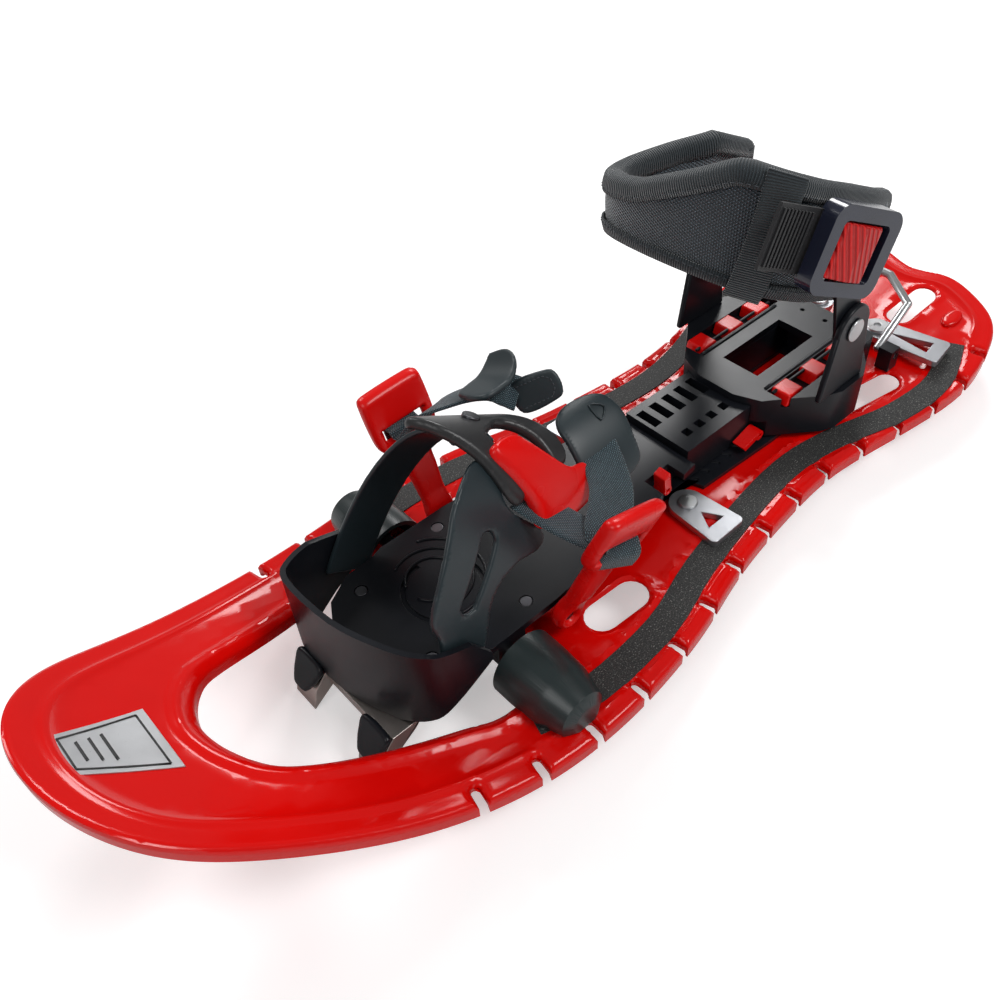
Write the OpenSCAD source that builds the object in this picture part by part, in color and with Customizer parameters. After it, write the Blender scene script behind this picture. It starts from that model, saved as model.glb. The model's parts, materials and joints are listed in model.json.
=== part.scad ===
// Moulded snowshoe with a hinged boot binding. Millimetres.
// +X points to the nose, +Y to the wearer's left and +Z up; z = 0 is the ground under the spike tips.

/* [Deck] */
// Length of the deck from nose to tail
deck_length = 590; // [580:2:600]
// Height of the bottom edge of the rim above the ground
rim_z = 15; // [14:0.5:16]
// Depth of the turned-down rim
rim_depth = 9; // [8:0.5:9]
// Wall thickness of the deck
deck_wall = 3; // [2.5:0.5:3]
// Height by which the nose curves up
nose_rise = 85; // [78:1:88]
// Height by which the tail curves up
tail_rise = 13.5; // [10:0.5:14]
// Width of a notch in the rim
notch_w = 3.2; // [2:0.2:4]

/* [Pivot] */
// Position of the pivot axle along the shoe
pivot_x = 113; // [112:1:114]
// Diameter of the pivot axle
axle_d = 8; // [7:0.5:8]
// Radial clearance between the axle and the parts that turn on it
running_gap = 0.06; // [0.03:0.01:0.1]

/* [Binding] */
// Half width of the toe plate
toe_half_w = 41; // [40:0.5:41]
// Height of the boot bed above the ground
bed_z = 45; // [44.5:0.5:45]
// Half width of the length-adjusting rail
rail_half_w = 22; // [21:0.5:22]
// Number of teeth openings in the rail
rack_count = 6; // [4:1:6]

/* [Heel and cuff] */
// Height of the heel plate's top above the ground
heel_z = 54; // [54:0.5:55]
// Height of the cuff pivot above the ground
cuff_pivot_z = 93; // [92:0.5:94]
// Thickness of the padded cuff
cuff_t = 10; // [8:1:10]

/* [Hidden] */

half_l = deck_length / 2;
deck_z = rim_z + rim_depth;
nose_start = 117;
tail_start = -132;
pad_z = deck_z + 3;
pivot_z = deck_z + 6;
axle_r = axle_d / 2;
air = 0.3;
touch = 0.05;
stripe_t = 0.6;
tall = 400;
$fn = 48;

red = "#d01010";
black = "#1b1d20";
slate = "#3d484d";
steel = "#b9bcc0";

// Half outline of the deck from the nose to the notch in the tail
half_outline = [[half_l, 0], [half_l - 4, 25], [half_l - 17, 45], [half_l - 32, 55], [186, 83],
    [109, 95.5], [41, 90], [-11, 77], [-84, 69], [-118, 71.5], [-204, 85], [-241, 80],
    [24 - half_l, 70], [9 - half_l, 42], [-half_l, 20], [16 - half_l, 0]];
// Half outline of the opening that the toe swings through
half_opening = [[237, 0], [229, 22], [211, 34.5], [155, 52], [139, 58], [121, 59], [116, 53],
    [112, 47.5], [99, 47.5], [99, 0]];
// Centre line of a grip stripe
stripe_line = [[128, 70], [97, 77], [50, 75], [9, 64], [-46, 54.5], [-84, 52], [-118, 57],
    [-160, 69], [-200, 72], [-234, 60]];

function bezier_like(a, b, c, d, t) = 0.5 * (2 * b + (c - a) * t
    + (2 * a - 5 * b + 4 * c - d) * t * t + (3 * b - a - 3 * c + d) * t * t * t);
function closed_curve(p, n) = let (k = len(p))
    [for (i = [0:k - 1], j = [0:n - 1])
        bezier_like(p[(i + k - 1) % k], p[i], p[(i + 1) % k], p[(i + 2) % k], j / n)];
function open_curve(p, n) = let (k = len(p))
    [for (i = [0:k - 2], j = [0:n]) if (j < n || i == k - 2)
        bezier_like(p[max(i - 1, 0)], p[i], p[i + 1], p[min(i + 2, k - 1)], j / n)];
function both_sides(p) = let (k = len(p))
    concat(p, [for (i = [k - 1:-1:0]) if (abs(p[i][1]) > 0.01) [p[i][0], -p[i][1]]]);
function unit(v) = v / norm(v);
function left_of(v) = [-v[1], v[0]];
function shifted(p, d) = let (k = len(p))
    [for (i = [0:k - 1]) p[i] + d * left_of(unit(p[min(i + 1, k - 1)] - p[max(i - 1, 0)]))];
function shifted_closed(p, d) = let (k = len(p))
    [for (i = [0:k - 1]) p[i] + d * left_of(unit(p[(i + 1) % k] - p[(i + k - 1) % k]))];
function backwards(p) = [for (i = [len(p) - 1:-1:0]) p[i]];
function ribbon(line, w) = concat(shifted(line, w / 2), backwards(shifted(line, -w / 2)));

deck_outline = closed_curve(both_sides(half_outline), 4);
deck_inner = shifted_closed(deck_outline, -deck_wall);

function rocker(x) = x > nose_start
    ? nose_rise * pow((x - nose_start) / (half_l - nose_start), 2)
    : x < tail_start ? tail_rise * pow((tail_start - x) / (half_l + tail_start), 2) : 0;
stations = concat([for (i = [0:16]) half_l + 6 - i * (half_l + 6 - nose_start) / 16],
    [for (i = [0:6]) tail_start - i * (half_l + 6 + tail_start) / 6]);
// Half width of the deck at x, and the direction of the rim there
half_points = open_curve(half_outline, 6);
function half_width(x) = lookup(x, [for (i = [0:len(half_points) - 8]) half_points[i]]);
function rim_angle(x) = atan2(half_width(x + 4) - half_width(x - 4), 8);

// Follows the curve of the deck between two heights above its top surface
module on_deck(low, high) {
    intersection() {
        translate([0, 0, -tall / 2])
            linear_extrude(tall) children();
        rotate([90, 0, 0])
            linear_extrude(2 * tall, center = true)
                polygon(concat([for (x = stations) [x, deck_z + rocker(x) + low]],
                    backwards([for (x = stations) [x, deck_z + rocker(x) + high]])));
    }
}

module mirrored() {
    children();
    mirror([0, 1, 0]) children();
}

module across(y0, y1) {
    translate([0, y1, 0])
        rotate([90, 0, 0])
            linear_extrude(y1 - y0) children();
}

// The straight sides cross the end circles just inside, so no two edges merely touch
module slot_2d(a, b, r) {
    d = b - a;
    side = 0.995 * r;
    translate(a) circle(r);
    translate(b) circle(r);
    translate(a)
        rotate(atan2(d[1], d[0]))
            translate([0, -side]) square([norm(d), 2 * side]);
}

module rod_y(x, z, r, y0, y1) {
    translate([x, y0, z])
        rotate([-90, 0, 0]) cylinder(r = r, h = y1 - y0);
}

module deck_holes_2d() {
    polygon(both_sides(half_opening));
    mirrored() {
        slot_2d([46, 52], [66, 51], 8.5);
        slot_2d([-139, 42], [-180, 50], 7);
        slot_2d([-238, 21], [-264, 22], 7.5);
    }
}

boss_x0 = pivot_x - 8;
boss_y0 = 62;
boss_y1 = 76;
spike_at = [[60, 80], [-100, 60], [-205, 66]];

module rim_notches() {
    notch_count = 15;
    first = 170;
    pitch = 29.3;
    reach = 9;
    for (i = [0:notch_count - 1]) {
        x = first - i * pitch;
        mirrored()
            translate([x, half_width(x), rim_z - 5])
                rotate(rim_angle(x)) {
                    translate([-notch_w / 2, -reach, 0]) cube([notch_w, reach + 12, tall / 4]);
                    translate([0, -reach, 0]) cylinder(r = notch_w * 0.65, h = tall / 4);
                }
    }
}

module deck_shell() {
    color(red)
        difference() {
            union() {
                difference() {
                    on_deck(-rim_depth, 0) polygon(deck_outline);
                    on_deck(-rim_depth - 5, -deck_wall) polygon(deck_inner);
                }
                difference() {
                    on_deck(-rim_depth + 2, -deck_wall / 2)
                        polygon(shifted_closed(both_sides(half_opening), 4));
                    on_deck(-rim_depth - 5, 1) polygon(both_sides(half_opening));
                }
                mirrored()
                    translate([boss_x0, boss_y0, deck_z - deck_wall / 2])
                        cube([16, boss_y1 - boss_y0, 14]);
                mirrored()
                    for (p = spike_at)
                        translate([p[0], p[1], deck_z - 8])
                            cylinder(r = 7, h = 7 + rocker(p[0]));
            }
            translate([0, 0, -tall / 2])
                linear_extrude(tall) deck_holes_2d();
            rim_notches();
            rod_y(pivot_x, pivot_z, axle_r + 0.02, -90, 90);
            mirrored()
                for (p = spike_at)
                    translate([p[0], p[1], deck_z - 8.1])
                        cylinder(r = 4.02, h = 5);
            on_deck(-1, 5) stripe_2d(0.2);
            on_deck(-1, 5) mirror([0, 1]) stripe_2d(0.2);
            on_deck(-1, 5) badge_2d(0.2);
        }
}

module stripe_2d(grow) {
    line = open_curve(stripe_line, 4);
    polygon(ribbon(line, 15 + 2 * grow));
}

module badge_2d(grow) {
    front = 282 + grow;
    rear = 250 - grow;
    polygon([[front, -10 - grow], [front, 10 + grow], [rear, 17 + grow], [rear, -17 - grow]]);
}

module flex_stripe(side) {
    color("#20211f")
        on_deck(-1 + touch, stripe_t)
            scale_side(side) stripe_2d(0);
}

module scale_side(side) {
    if (side > 0) children();
    else mirror([0, 1]) children();
}

module nose_badge() {
    color(steel)
        on_deck(-1 + touch, stripe_t) badge_2d(0);
}

// Grooved wear pad under the rail and the boot
pad_half = [[92, 30], [40, 34], [4, 22], [-30, 22], [-33, 31], [-90, 34], [-126, 33], [-165, 24]];
module deck_pad() {
    color(black)
        difference() {
            on_deck(touch, pad_z - deck_z) polygon(both_sides(pad_half));
            mirrored()
                for (i = [0:7])
                    translate([-20 - i * 9, 3, pad_z - 1])
                        rotate(35) cube([2, 27, 5]);
            translate([window_x0 - 8, -window_w / 2, 0])
                cube([window_x1 - window_x0 + 8, window_w, 60]);
        }
}

module pivot_axle() {
    color(steel)
        rod_y(pivot_x, pivot_z, axle_r, -78, 78);
}

module pivot_cover(side) {
    profile = [[0, 88], [7, 88], [12, 85], [16, 72], [17, 58], [17, 46.5], [14.5, 46.5],
        [14.5, 58], [13.3, 72], [11.5, 78.5], [0, 78.5]];
    color(slate)
        difference() {
            scale([1, side, 1])
                translate([pivot_x, 0, pivot_z])
                    rotate([-90, 0, 0])
                        rotate_extrude() polygon(profile);
            on_deck(-60, stripe_t + touch) square(tall, center = true);
        }
}

// Open side frame of cast aluminium, drawn flat
module side_frame_2d(l, w, tip) {
    difference() {
        union() {
            slot_2d([0, 0], [0, 0.01], w * 0.42);
            polygon([[-w * 0.42, 0], [w * 0.42, 0], [w * 0.5 + tip, l], [-w * 0.5 + tip, l]]);
            slot_2d([-w * 0.5 + tip + 3, l], [w * 0.5 + tip - 3, l], 3);
        }
        polygon([[0, 9], [w * 0.24 + tip * 0.4, l - 6], [-w * 0.24 + tip * 0.8, l - 6]]);
    }
}

front_rivet = [-16, 34];
rear_rivet = [-209, 22];
rear_lift = rocker(-240) + 1;
module front_bracket() {
    color(steel)
        difference() {
            translate([front_rivet[0], front_rivet[1], deck_z + 0.7])
                linear_extrude(4) side_frame_2d(25, 24, 0);
            translate([front_rivet[0], front_rivet[1], deck_z]) cylinder(r = 2.52, h = 10);
        }
}

module rear_bracket() {
    color(steel)
        difference() {
            translate([rear_rivet[0], rear_rivet[1], deck_z + rear_lift])
                rotate(8)
                    linear_extrude(4) side_frame_2d(40, 24, 0);
            translate([rear_rivet[0], rear_rivet[1], deck_z]) cylinder(r = 2.52, h = 20);
        }
}

module bracket_rivets() {
    color(steel)
        mirrored() {
            translate([front_rivet[0], front_rivet[1], deck_z + touch]) cylinder(r = 2.5, h = 4.7);
            translate([front_rivet[0], front_rivet[1], deck_z + 4.75]) cylinder(r = 5, h = 1.6);
            translate([rear_rivet[0], rear_rivet[1], deck_z + rear_lift - 3.2])
                cylinder(r = 2.5, h = 8);
            translate([rear_rivet[0], rear_rivet[1], deck_z + rear_lift + 4.05])
                difference() {
                    cylinder(r = 7, h = 2.4);
                    translate([0, 0, 1]) cylinder(r = 2, h = 3);
                }
        }
}

module deck_spikes() {
    color(steel)
        mirrored()
            for (p = spike_at)
                translate([p[0], p[1], 0])
                    rotate_extrude()
                        polygon([[0, 0], [1, 0], [4, 9], [4, deck_z - 3.2], [0, deck_z - 3.2]]);
}

window_x0 = -150;
window_x1 = -98;
window_w = 24;
bail_x = -190;
bail_z = deck_z + 12;
bail_r = 2;
bail_y = 34;
module bail_clips() {
    color(black)
        mirrored()
            difference() {
                translate([bail_x - 4.5, bail_y + 3, deck_z + 2.3])
                    cube([9, 9, bail_z - deck_z + 2.2]);
                rod_y(bail_x, bail_z, bail_r + running_gap, 30, 60);
            }
}

// Wire loop that props the heel up
module heel_bail() {
    lean = 36;
    leg = 32;
    crown = [12, 20];
    color(steel)
        translate([bail_x, 0, bail_z])
            rotate([0, lean, 0])
                mirrored() {
                    rod_y(0, 0, bail_r, bail_y, bail_y + 11);
                    translate([0, bail_y, 0]) sphere(bail_r);
                    translate([0, bail_y, 0]) rotate([0, -90, 0]) cylinder(r = bail_r, h = leg);
                    translate([-leg, bail_y, 0]) sphere(bail_r);
                    translate([-leg, bail_y, 0])
                        rotate([0, -90, atan2(crown[1], crown[0])])
                            cylinder(r = bail_r, h = norm(crown));
                    translate([-leg - crown[0], bail_y - crown[1], 0]) sphere(bail_r);
                    rod_y(-leg - crown[0], 0, bail_r, 0, bail_y - crown[1]);
                }
}

// Half outline of the toe plate, from its front to its tail
plate_half = [[166, 20], [160, 30], [146, 38], [130, 39], [124, toe_half_w], [85, toe_half_w],
    [58, 39], [20, 33], [-27, 28]];
module toe_plate() {
    outline = both_sides(plate_half);
    floor_z = bed_z - 4;
    skirt_z = pad_z + 4.5;
    color(black)
        difference() {
            union() {
                difference() {
                    translate([0, 0, skirt_z]) linear_extrude(bed_z - skirt_z) polygon(outline);
                    translate([0, 0, pad_z]) linear_extrude(floor_z - pad_z)
                        polygon(shifted_closed(outline, -3));
                }
                rod_y(pivot_x, pivot_z, 8, -toe_half_w, toe_half_w);
                translate([pivot_x - 8, -toe_half_w, pivot_z]) cube([16, 2 * toe_half_w, 12]);
            }
            rod_y(pivot_x, pivot_z, axle_r + running_gap, -60, 60);
            translate([-40, -tongue_half_w - air, 0]) cube([22, 2 * (tongue_half_w + air), bed_z - 4]);
            for (p = screw_at) {
                translate([p[0], p[1], bed_z - 6]) cylinder(r = 1.52, h = 10);
                translate([p[0], p[1], bed_z - 1.5]) cylinder(r = 3.2, h = 10);
            }
            translate([0, 0, bed_z - 1.2])
                linear_extrude(5)
                    translate([118, 0]) difference() {
                        circle(20);
                        circle(17.5);
                        translate([-50, -50]) square([50, 40]);
                    }
            latch_bay();
        }
}

tongue_half_w = 16;
screw_at = [[146, -26], [146, 26], [96, -32], [96, 32], [40, 0], [12, 0]];
module toe_screws() {
    color(steel)
        for (p = screw_at) {
            translate([p[0], p[1], bed_z - 5]) cylinder(r = 1.5, h = 4);
            translate([p[0], p[1], bed_z - 1.45]) cylinder(r = 3, h = 1.2);
        }
}

// Raised wall around the boot's toe, fuller on the big-toe side
cup_line = [[128, -44.5], [150, -44], [168, -41], [176, -32], [175, 0], [167, 26], [159, 40],
    [150, 44.4], [128, 45]];
module toe_cup() {
    color(slate)
        intersection() {
            linear_extrude(tall) polygon(ribbon(open_curve(cup_line, 4), 2.6));
            across(-60, 60)
                polygon([[126, 48], [138, 66], [158, 73], [184, 73], [184, 22], [168, 22], [150, 34]]);
        }
}

module toe_claw() {
    color(steel) {
        for (y = [-33, 17])
            across(y, y + 16)
                polygon([[160, 25], [160, 21.8], [176, 21.8], [184, 12], [187, 0.2], [178, 7],
                    [164, 17], [157, 25]]);
        across(-17, 17) polygon([[160, 25], [160, 21.8], [177, 21.8], [177, 16], [157, 16], [157, 25]]);
    }
}

rail_z = bed_z + 4;
rail_front = -28;
module rail() {
    rear = -172;
    low = pad_z + 1;
    rack_pitch = 10;
    color(black)
        difference() {
            union() {
                translate([rear, -rail_half_w, low])
                    cube([rail_front - rear, 2 * rail_half_w, rail_z - low]);
                translate([rail_front - 1, -tongue_half_w, low])
                    cube([50, 2 * tongue_half_w, bed_z - 4.3 - low]);
            }
            for (i = [0:rack_count - 1])
                translate([rail_front - 8 - i * rack_pitch, -17, pad_z]) cube([5.5, 14, 30]);
            for (i = [0:4])
                translate([rail_front - 14 - i * rack_pitch, 9, pad_z]) cube([5, 5, 30]);
            translate([window_x0 - 14, -window_w / 2, pad_z])
                cube([window_x1 + 6 - window_x0 + 14, window_w, 40]);
            translate([12, 0, pad_z]) cylinder(r = 1.52, h = 30);
            latch_bay();
        }
}

// Bay for the red lever that frees the rail for length changes
latch_x = -8;
latch_y = 19;
module latch_bay() {
    translate([latch_x - 9, latch_y - 1, bed_z - 13]) cube([18, 20, 30]);
}

module rail_latch() {
    color(red)
        difference() {
            union() {
                rod_y(latch_x, bed_z - 7, 3, latch_y, latch_y + 8);
                across(latch_y, latch_y + 8)
                    polygon([[latch_x - 2.6, bed_z - 7], [latch_x + 2.6, bed_z - 7],
                        [latch_x + 4, bed_z + 3], [latch_x - 1, bed_z + 5]]);
            }
            rod_y(latch_x, bed_z - 7, 1.3, 0, 40);
        }
}

// Toe arch: bands bent over the boot, tilted back by arch_tilt about their feet
arch_x = 150;
arch_z = 57;
arch_tilt = 30;
arch_y = 38.5;
arch_h = 84;
function arch_point(a, grow) = [(arch_y + grow) * cos(a), (arch_h + grow) * sin(a)];
module arch_band(grow, t, a0, a1, x0, w) {
    steps = 14;
    outer = [for (i = [0:steps]) arch_point(a0 + i * (a1 - a0) / steps, grow + t)];
    inner = [for (i = [steps:-1:0]) arch_point(a0 + i * (a1 - a0) / steps, grow)];
    translate([arch_x, 0, arch_z])
        rotate([0, -arch_tilt, 0])
            translate([x0, 0, 0])
                rotate([90, 0, 90])
                    linear_extrude(w) polygon(concat(outer, inner));
}

// A point on the arch: u along its axis, a round it, grow outwards
function tilted(v) = [arch_x + v[0] * cos(arch_tilt) - v[2] * sin(arch_tilt), v[1],
    arch_z + v[0] * sin(arch_tilt) + v[2] * cos(arch_tilt)];
function on_arch(u, a, grow) = tilted([u, arch_point(a, grow)[0], arch_point(a, grow)[1]]);

module rod(p, q, r) {
    d = q - p;
    translate(p)
        rotate([0, acos(d[2] / norm(d)), atan2(d[1], d[0])])
            cylinder(r = r, h = norm(d));
}

module arch_frame() {
    translate([arch_x, 0, arch_z])
        rotate([0, -arch_tilt, 0]) children();
}

// Outlines drawn from the side (u, height) and from above (u, across) on the bent bands
arm_side = [[-22, -6], [-3, -6], [8, 14], [18, 28], [12, 60], [8, 72], [-3, 81.5], [-16, 80.5],
    [-22, 64], [-44, 55], [-42, 47], [-24, 44], [-16, 30]];
module strap_arm(side) {
    color(slate) {
        if (side > 0)
            difference() {
                intersection() {
                    arch_band(1.5, 2.5, -5, 76, -60, 90);
                    arch_frame() across(0, 60) polygon(arm_side);
                }
                arch_frame() across(0, 60) slot_2d([-7, 37], [-11, 58], 3.4);
            }
        else arch_band(1.5, 2.5, 82, 185, -24, 24);
    }
}

hoop_top = [[12, -14], [-42, -14], [-59, 13], [-59, 19], [-49, 20], [-39, 3], [-31, -1], [-15, 8],
    [-28, 24], [-26, 29], [-18, 27], [6, 2]];
module hoop_plate() {
    color("#3a3a3c")
        difference() {
            intersection() {
                arch_band(4.1, 3.4, 40, 120, -70, 90);
                arch_frame() linear_extrude(120) polygon(hoop_top);
            }
            arm_hole();
            rod(pin_a, pin_b, pin_r + 0.02);
        }
}

bolt_u = -17;
bolt_a = 96;
module at_bolt(grow) {
    translate(on_arch(bolt_u, bolt_a, grow))
        rotate([0, -arch_tilt, 0])
            rotate([bolt_a - 94, 0, 0]) children();
}

module arm_hole() {
    at_bolt(0) cylinder(r = 2.6, h = 20);
}

module arm_bolt() {
    color(steel)
        at_bolt(8) cylinder(r = 4, h = 2);
}

pin_r = 1.5;
pin_a = on_arch(-22, 57, 6);
pin_b = on_arch(-58, 66, 6);
pin_dir = unit(pin_b - pin_a);
module lever_pin() {
    color(steel) rod(pin_a, pin_b, pin_r);
}

lever_top = [[-26, 14], [-30, 10], [-37, 10], [-39, 14], [-43, 21], [-56, 26], [-70, 24], [-74, 29],
    [-58, 36.5], [-38, 37.5], [-24, 33], [-30, 25]];
module toe_lever() {
    color(red)
        difference() {
            union() {
                intersection() {
                    arch_band(8, 3.2, 30, 90, -90, 120);
                    arch_frame() linear_extrude(120) polygon(lever_top);
                }
                rod(pin_a + 12 * pin_dir, pin_b - 11.5 * pin_dir, 3);
            }
            rod(pin_a - 9 * pin_dir, pin_b + 9 * pin_dir, pin_r + running_gap);
        }
}

// Strap over the instep: a pad, a saddle, and webbing that runs out to the loops
strap_z = 60;
strap_half_w = 34;
strap_h = 54;
module strap_band(grow, t, a0, a1, x0, x1) {
    steps = 10;
    function at(a, g) = [(strap_half_w + g) * cos(a), strap_z + (strap_h + g) * sin(a)];
    translate([x0, 0, 0])
        rotate([90, 0, 90])
            linear_extrude(x1 - x0)
                polygon(concat([for (i = [0:steps]) at(a0 + i * (a1 - a0) / steps, grow + t)],
                    [for (i = [steps:-1:0]) at(a0 + i * (a1 - a0) / steps, grow)]));
}

// The near strap sits lower than the far one
near_drop = 9;
far_lift = 4;
module instep_pad() {
    color(slate) translate([0, 0, -near_drop]) strap_band(0, 3, 32, 88, 16, 44);
}

module strap_saddle() {
    color(slate) translate([0, 0, far_lift]) strap_band(4, 3, 104, 140, 46, 67);
}

module webbing(side) {
    color("#4b6068") {
        if (side > 0) translate([0, 0, -near_drop]) {
            strap_band(3.4, 1.6, 36, 86, 22, 42);
            translate([22, 0, 0]) rotate([90, 0, 90])
                linear_extrude(20) polygon([[30.4, 94.4], [50, 101], [50, 102.6], [29.3, 96.4]]);
        } else translate([0, 0, far_lift]) {
            strap_band(7.4, 1.6, 108, 140, 48, 65);
            translate([48, 0, 0]) rotate([90, 0, 90])
                linear_extrude(17) polygon([[-31.7, 99.2], [-50, 97], [-50, 98.6], [-31, 101]]);
        }
    }
}

// Red strap loops on rivets at the sides of the toe plate
loop_x = 84;
loop_z = 38;
loop_lean = 17;
module strap_loop(swing) {
    arm_y = toe_half_w + 1;
    color(red)
            translate([loop_x, arm_y, loop_z])
                rotate([0, swing, 0])
                    difference() {
                        union() {
                            across(0, 3.5) {
                                circle(8);
                                translate([-6, 0]) square([12, 13]);
                            }
                            rotate([-loop_lean, 0, 0])
                                across(0, 4)
                                    difference() {
                                        polygon([[-7, 9], [7, 9], [9, 40], [16, 48], [16, 75],
                                            [-16, 75], [-16, 48], [-9, 40]]);
                                        translate([-11.5, 50]) square([23, 7]);
                                        translate([-11.5, 63]) square([23, 7]);
                                    }
                        }
                        rod_y(0, 0, 2.5 + running_gap, -5, 10);
                    }
}

module loop_rivets() {
    color(steel)
        mirrored() {
            rod_y(loop_x, loop_z, 2.5, toe_half_w + touch, toe_half_w + 5);
            rod_y(loop_x, loop_z, 5, toe_half_w + 5.05, toe_half_w + 6.6);
        }
}

// Heel plate that slides on the rail
latch2_x = -80;
heel_half = [[-76, 12], [-82, 27], [-94, 36], [-112, 50], [-120, 53], [-140, 53], [-150, 48],
    [-162, 38], [-176, 36], [-178, 30]];
module heel_plate() {
    outline = both_sides(heel_half);
    color(black)
        difference() {
            translate([0, 0, pad_z + 1.2]) linear_extrude(heel_z - pad_z - 1.2) polygon(outline);
            translate([-190, -rail_half_w - air, pad_z])
                cube([150, 2 * (rail_half_w + air), rail_z + air - pad_z]);
            mirrored()
                translate([-165, rail_half_w + 1.8, heel_z - 6]) cube([74, 13, 20]);
            translate([window_x0, -window_w / 2, pad_z])
                cube([window_x1 - window_x0, window_w, 60]);
            mirrored()
                translate([0, 0, pad_z])
                    linear_extrude(heel_z - pad_z - 8)
                        polygon([[-96, 27], [-114, 47], [-121, 50], [-139, 50], [-148, 45],
                            [-160, 35], [-173, 33], [-173, 27]]);
            translate([latch2_x - 6, 22.4, 0]) cube([30, 9.3, pad_z + 12]);
            mirrored() translate([-168, 8, pad_z]) cylinder(r = 1.5, h = 60);
        }
}

module heel_grips() {
    color(red)
        mirrored()
            for (x = [-101, -126, -151])
                translate([x - 8, rail_half_w + 2.2, heel_z - 6 + touch])
                    across(0, 12)
                        polygon([[0, 0], [16, 0], [14, 7], [2, 7]]);
}

upright_y = 47;
upright_t = 3.5;
cuff_x = -121;
module upright(side) {
    color(black)
        scale([1, side, 1])
            difference() {
                across(upright_y, upright_y + upright_t) {
                    polygon([[-101, heel_z + touch], [-141, heel_z + touch],
                        [cuff_x - 14, cuff_pivot_z], [cuff_x + 14, cuff_pivot_z]]);
                    translate([cuff_x, cuff_pivot_z]) circle(14);
                }
                rod_y(cuff_x, cuff_pivot_z, 4 + running_gap, 0, 60);
            }
}

module cuff_pins() {
    color(steel)
        mirrored() {
            rod_y(cuff_x, cuff_pivot_z, 4, 44.2, upright_y + upright_t + 0.1);
            rod_y(cuff_x, cuff_pivot_z, 6.5, upright_y + upright_t + 0.1, upright_y + upright_t + 1.6);
        }
}

module heel_latch() {
    color(red)
        difference() {
            union() {
                rod_y(latch2_x, pad_z + 6, 3, 23, 31);
                across(23, 31)
                    polygon([[latch2_x - 2.5, pad_z + 6], [latch2_x + 12, pad_z + 2],
                        [latch2_x + 14, pad_z + 5], [latch2_x + 1, pad_z + 9]]);
            }
            rod_y(latch2_x, pad_z + 6, 1.3, 0, 60);
        }
}

// Cuff: plastic arms on the pivot pins, padding around the ankle, ladder strap and ratchet
module cuff_arm_2d(grow) {
    wide = 11 + grow;
    translate([cuff_x, cuff_pivot_z]) circle(wide);
    polygon([[cuff_x - wide, cuff_pivot_z], [cuff_x + wide, cuff_pivot_z],
        [cuff_x + 22 + grow, 130 + grow], [cuff_x + 2 - grow, 138 + grow]]);
}

module cuff_arm(side) {
    color(black)
        scale([1, side, 1])
            difference() {
                across(44.4, 46.7) cuff_arm_2d(0);
                rod_y(cuff_x, cuff_pivot_z, 4.02, 0, 60);
            }
}

cuff_line = [[-148, 34], [-130, 38.5], [-106, 39], [-78, 38], [-56, 27], [-45, 4], [-40, -26],
    [-43, -48], [-58, -56], [-84, -50], [-106, -40], [-132, -38.5]];
cuff_side = [[-160, 97], [-126, 108], [-40, 145], [-30, 149], [-30, 198], [-52, 198], [-105, 174],
    [-160, 148]];
cuff_front = [[-70, 80], [-70, 166], [-30, 176], [0, 190], [20, 200], [60, 200], [60, 80]];
module cuff_pad() {
    color(slate)
        intersection() {
            difference() {
                linear_extrude(tall) polygon(ribbon(open_curve(cuff_line, 4), cuff_t));
                across(-70, -44.3) cuff_arm_2d(0.2);
            }
            across(-80, 80) polygon(cuff_side);
            rotate([90, 0, 90])
                linear_extrude(tall, center = true) polygon(cuff_front);
        }
}

cuff_tilt = 24;
module on_cuff() {
    translate([-84, 47.5, 158])
        rotate([0, -cuff_tilt, 0])
            rotate([0, 0, -10]) children();
}

module ladder_strap() {
    rungs = 9;
    color(black)
        on_cuff() {
            translate([-20, 0, -15]) cube([66, 2, 30]);
            for (i = [0:rungs - 1])
                translate([24 + i * 2.4, 2, -13]) cube([1.2, 1.2, 26]);
        }
}

module rounded_2d(x0, z0, x1, z1, r) {
    for (x = [x0 + r, x1 - r], z = [z0 + r, z1 - r])
        translate([x, z]) circle(r);
    translate([x0 + r, z0]) square([x1 - x0 - 2 * r, z1 - z0]);
    translate([x0, z0 + r]) square([x1 - x0, z1 - z0 - 2 * r]);
}

// The button turns on a pin across the frame's window
button_x = 8;
button_y = 8;
module ratchet_frame() {
    color("#3a3d52")
        on_cuff()
            difference() {
                across(2.1, 11.6) rounded_2d(-30, -21, 20, 21, 8);
                across(4.1, 20) rounded_2d(-22, -14, 12.5, 14, 3);
                translate([-50, 2, -15.5]) cube([100, 1.5, 31]);
                translate([button_x, button_y, 0]) cylinder(r = 1.6, h = 37, center = true);
            }
}

module ratchet_pin() {
    color(steel)
        on_cuff() translate([button_x, button_y, 0]) cylinder(r = 1.5, h = 36.8, center = true);
}

module ratchet_button() {
    color(red)
        on_cuff()
            difference() {
                union() {
                    translate([button_x, button_y, 0]) cylinder(r = 3.4, h = 26, center = true);
                    translate([0, 0, -13])
                        linear_extrude(26)
                            polygon([[button_x, 4.8], [button_x, 11.2], [-2, 14.5], [-12, 14.5],
                                [-18, 10], [-8, 6.4]]);
                }
                translate([button_x, button_y, 0])
                    cylinder(r = 1.5 + running_gap, h = 60, center = true);
            }
}

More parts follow.
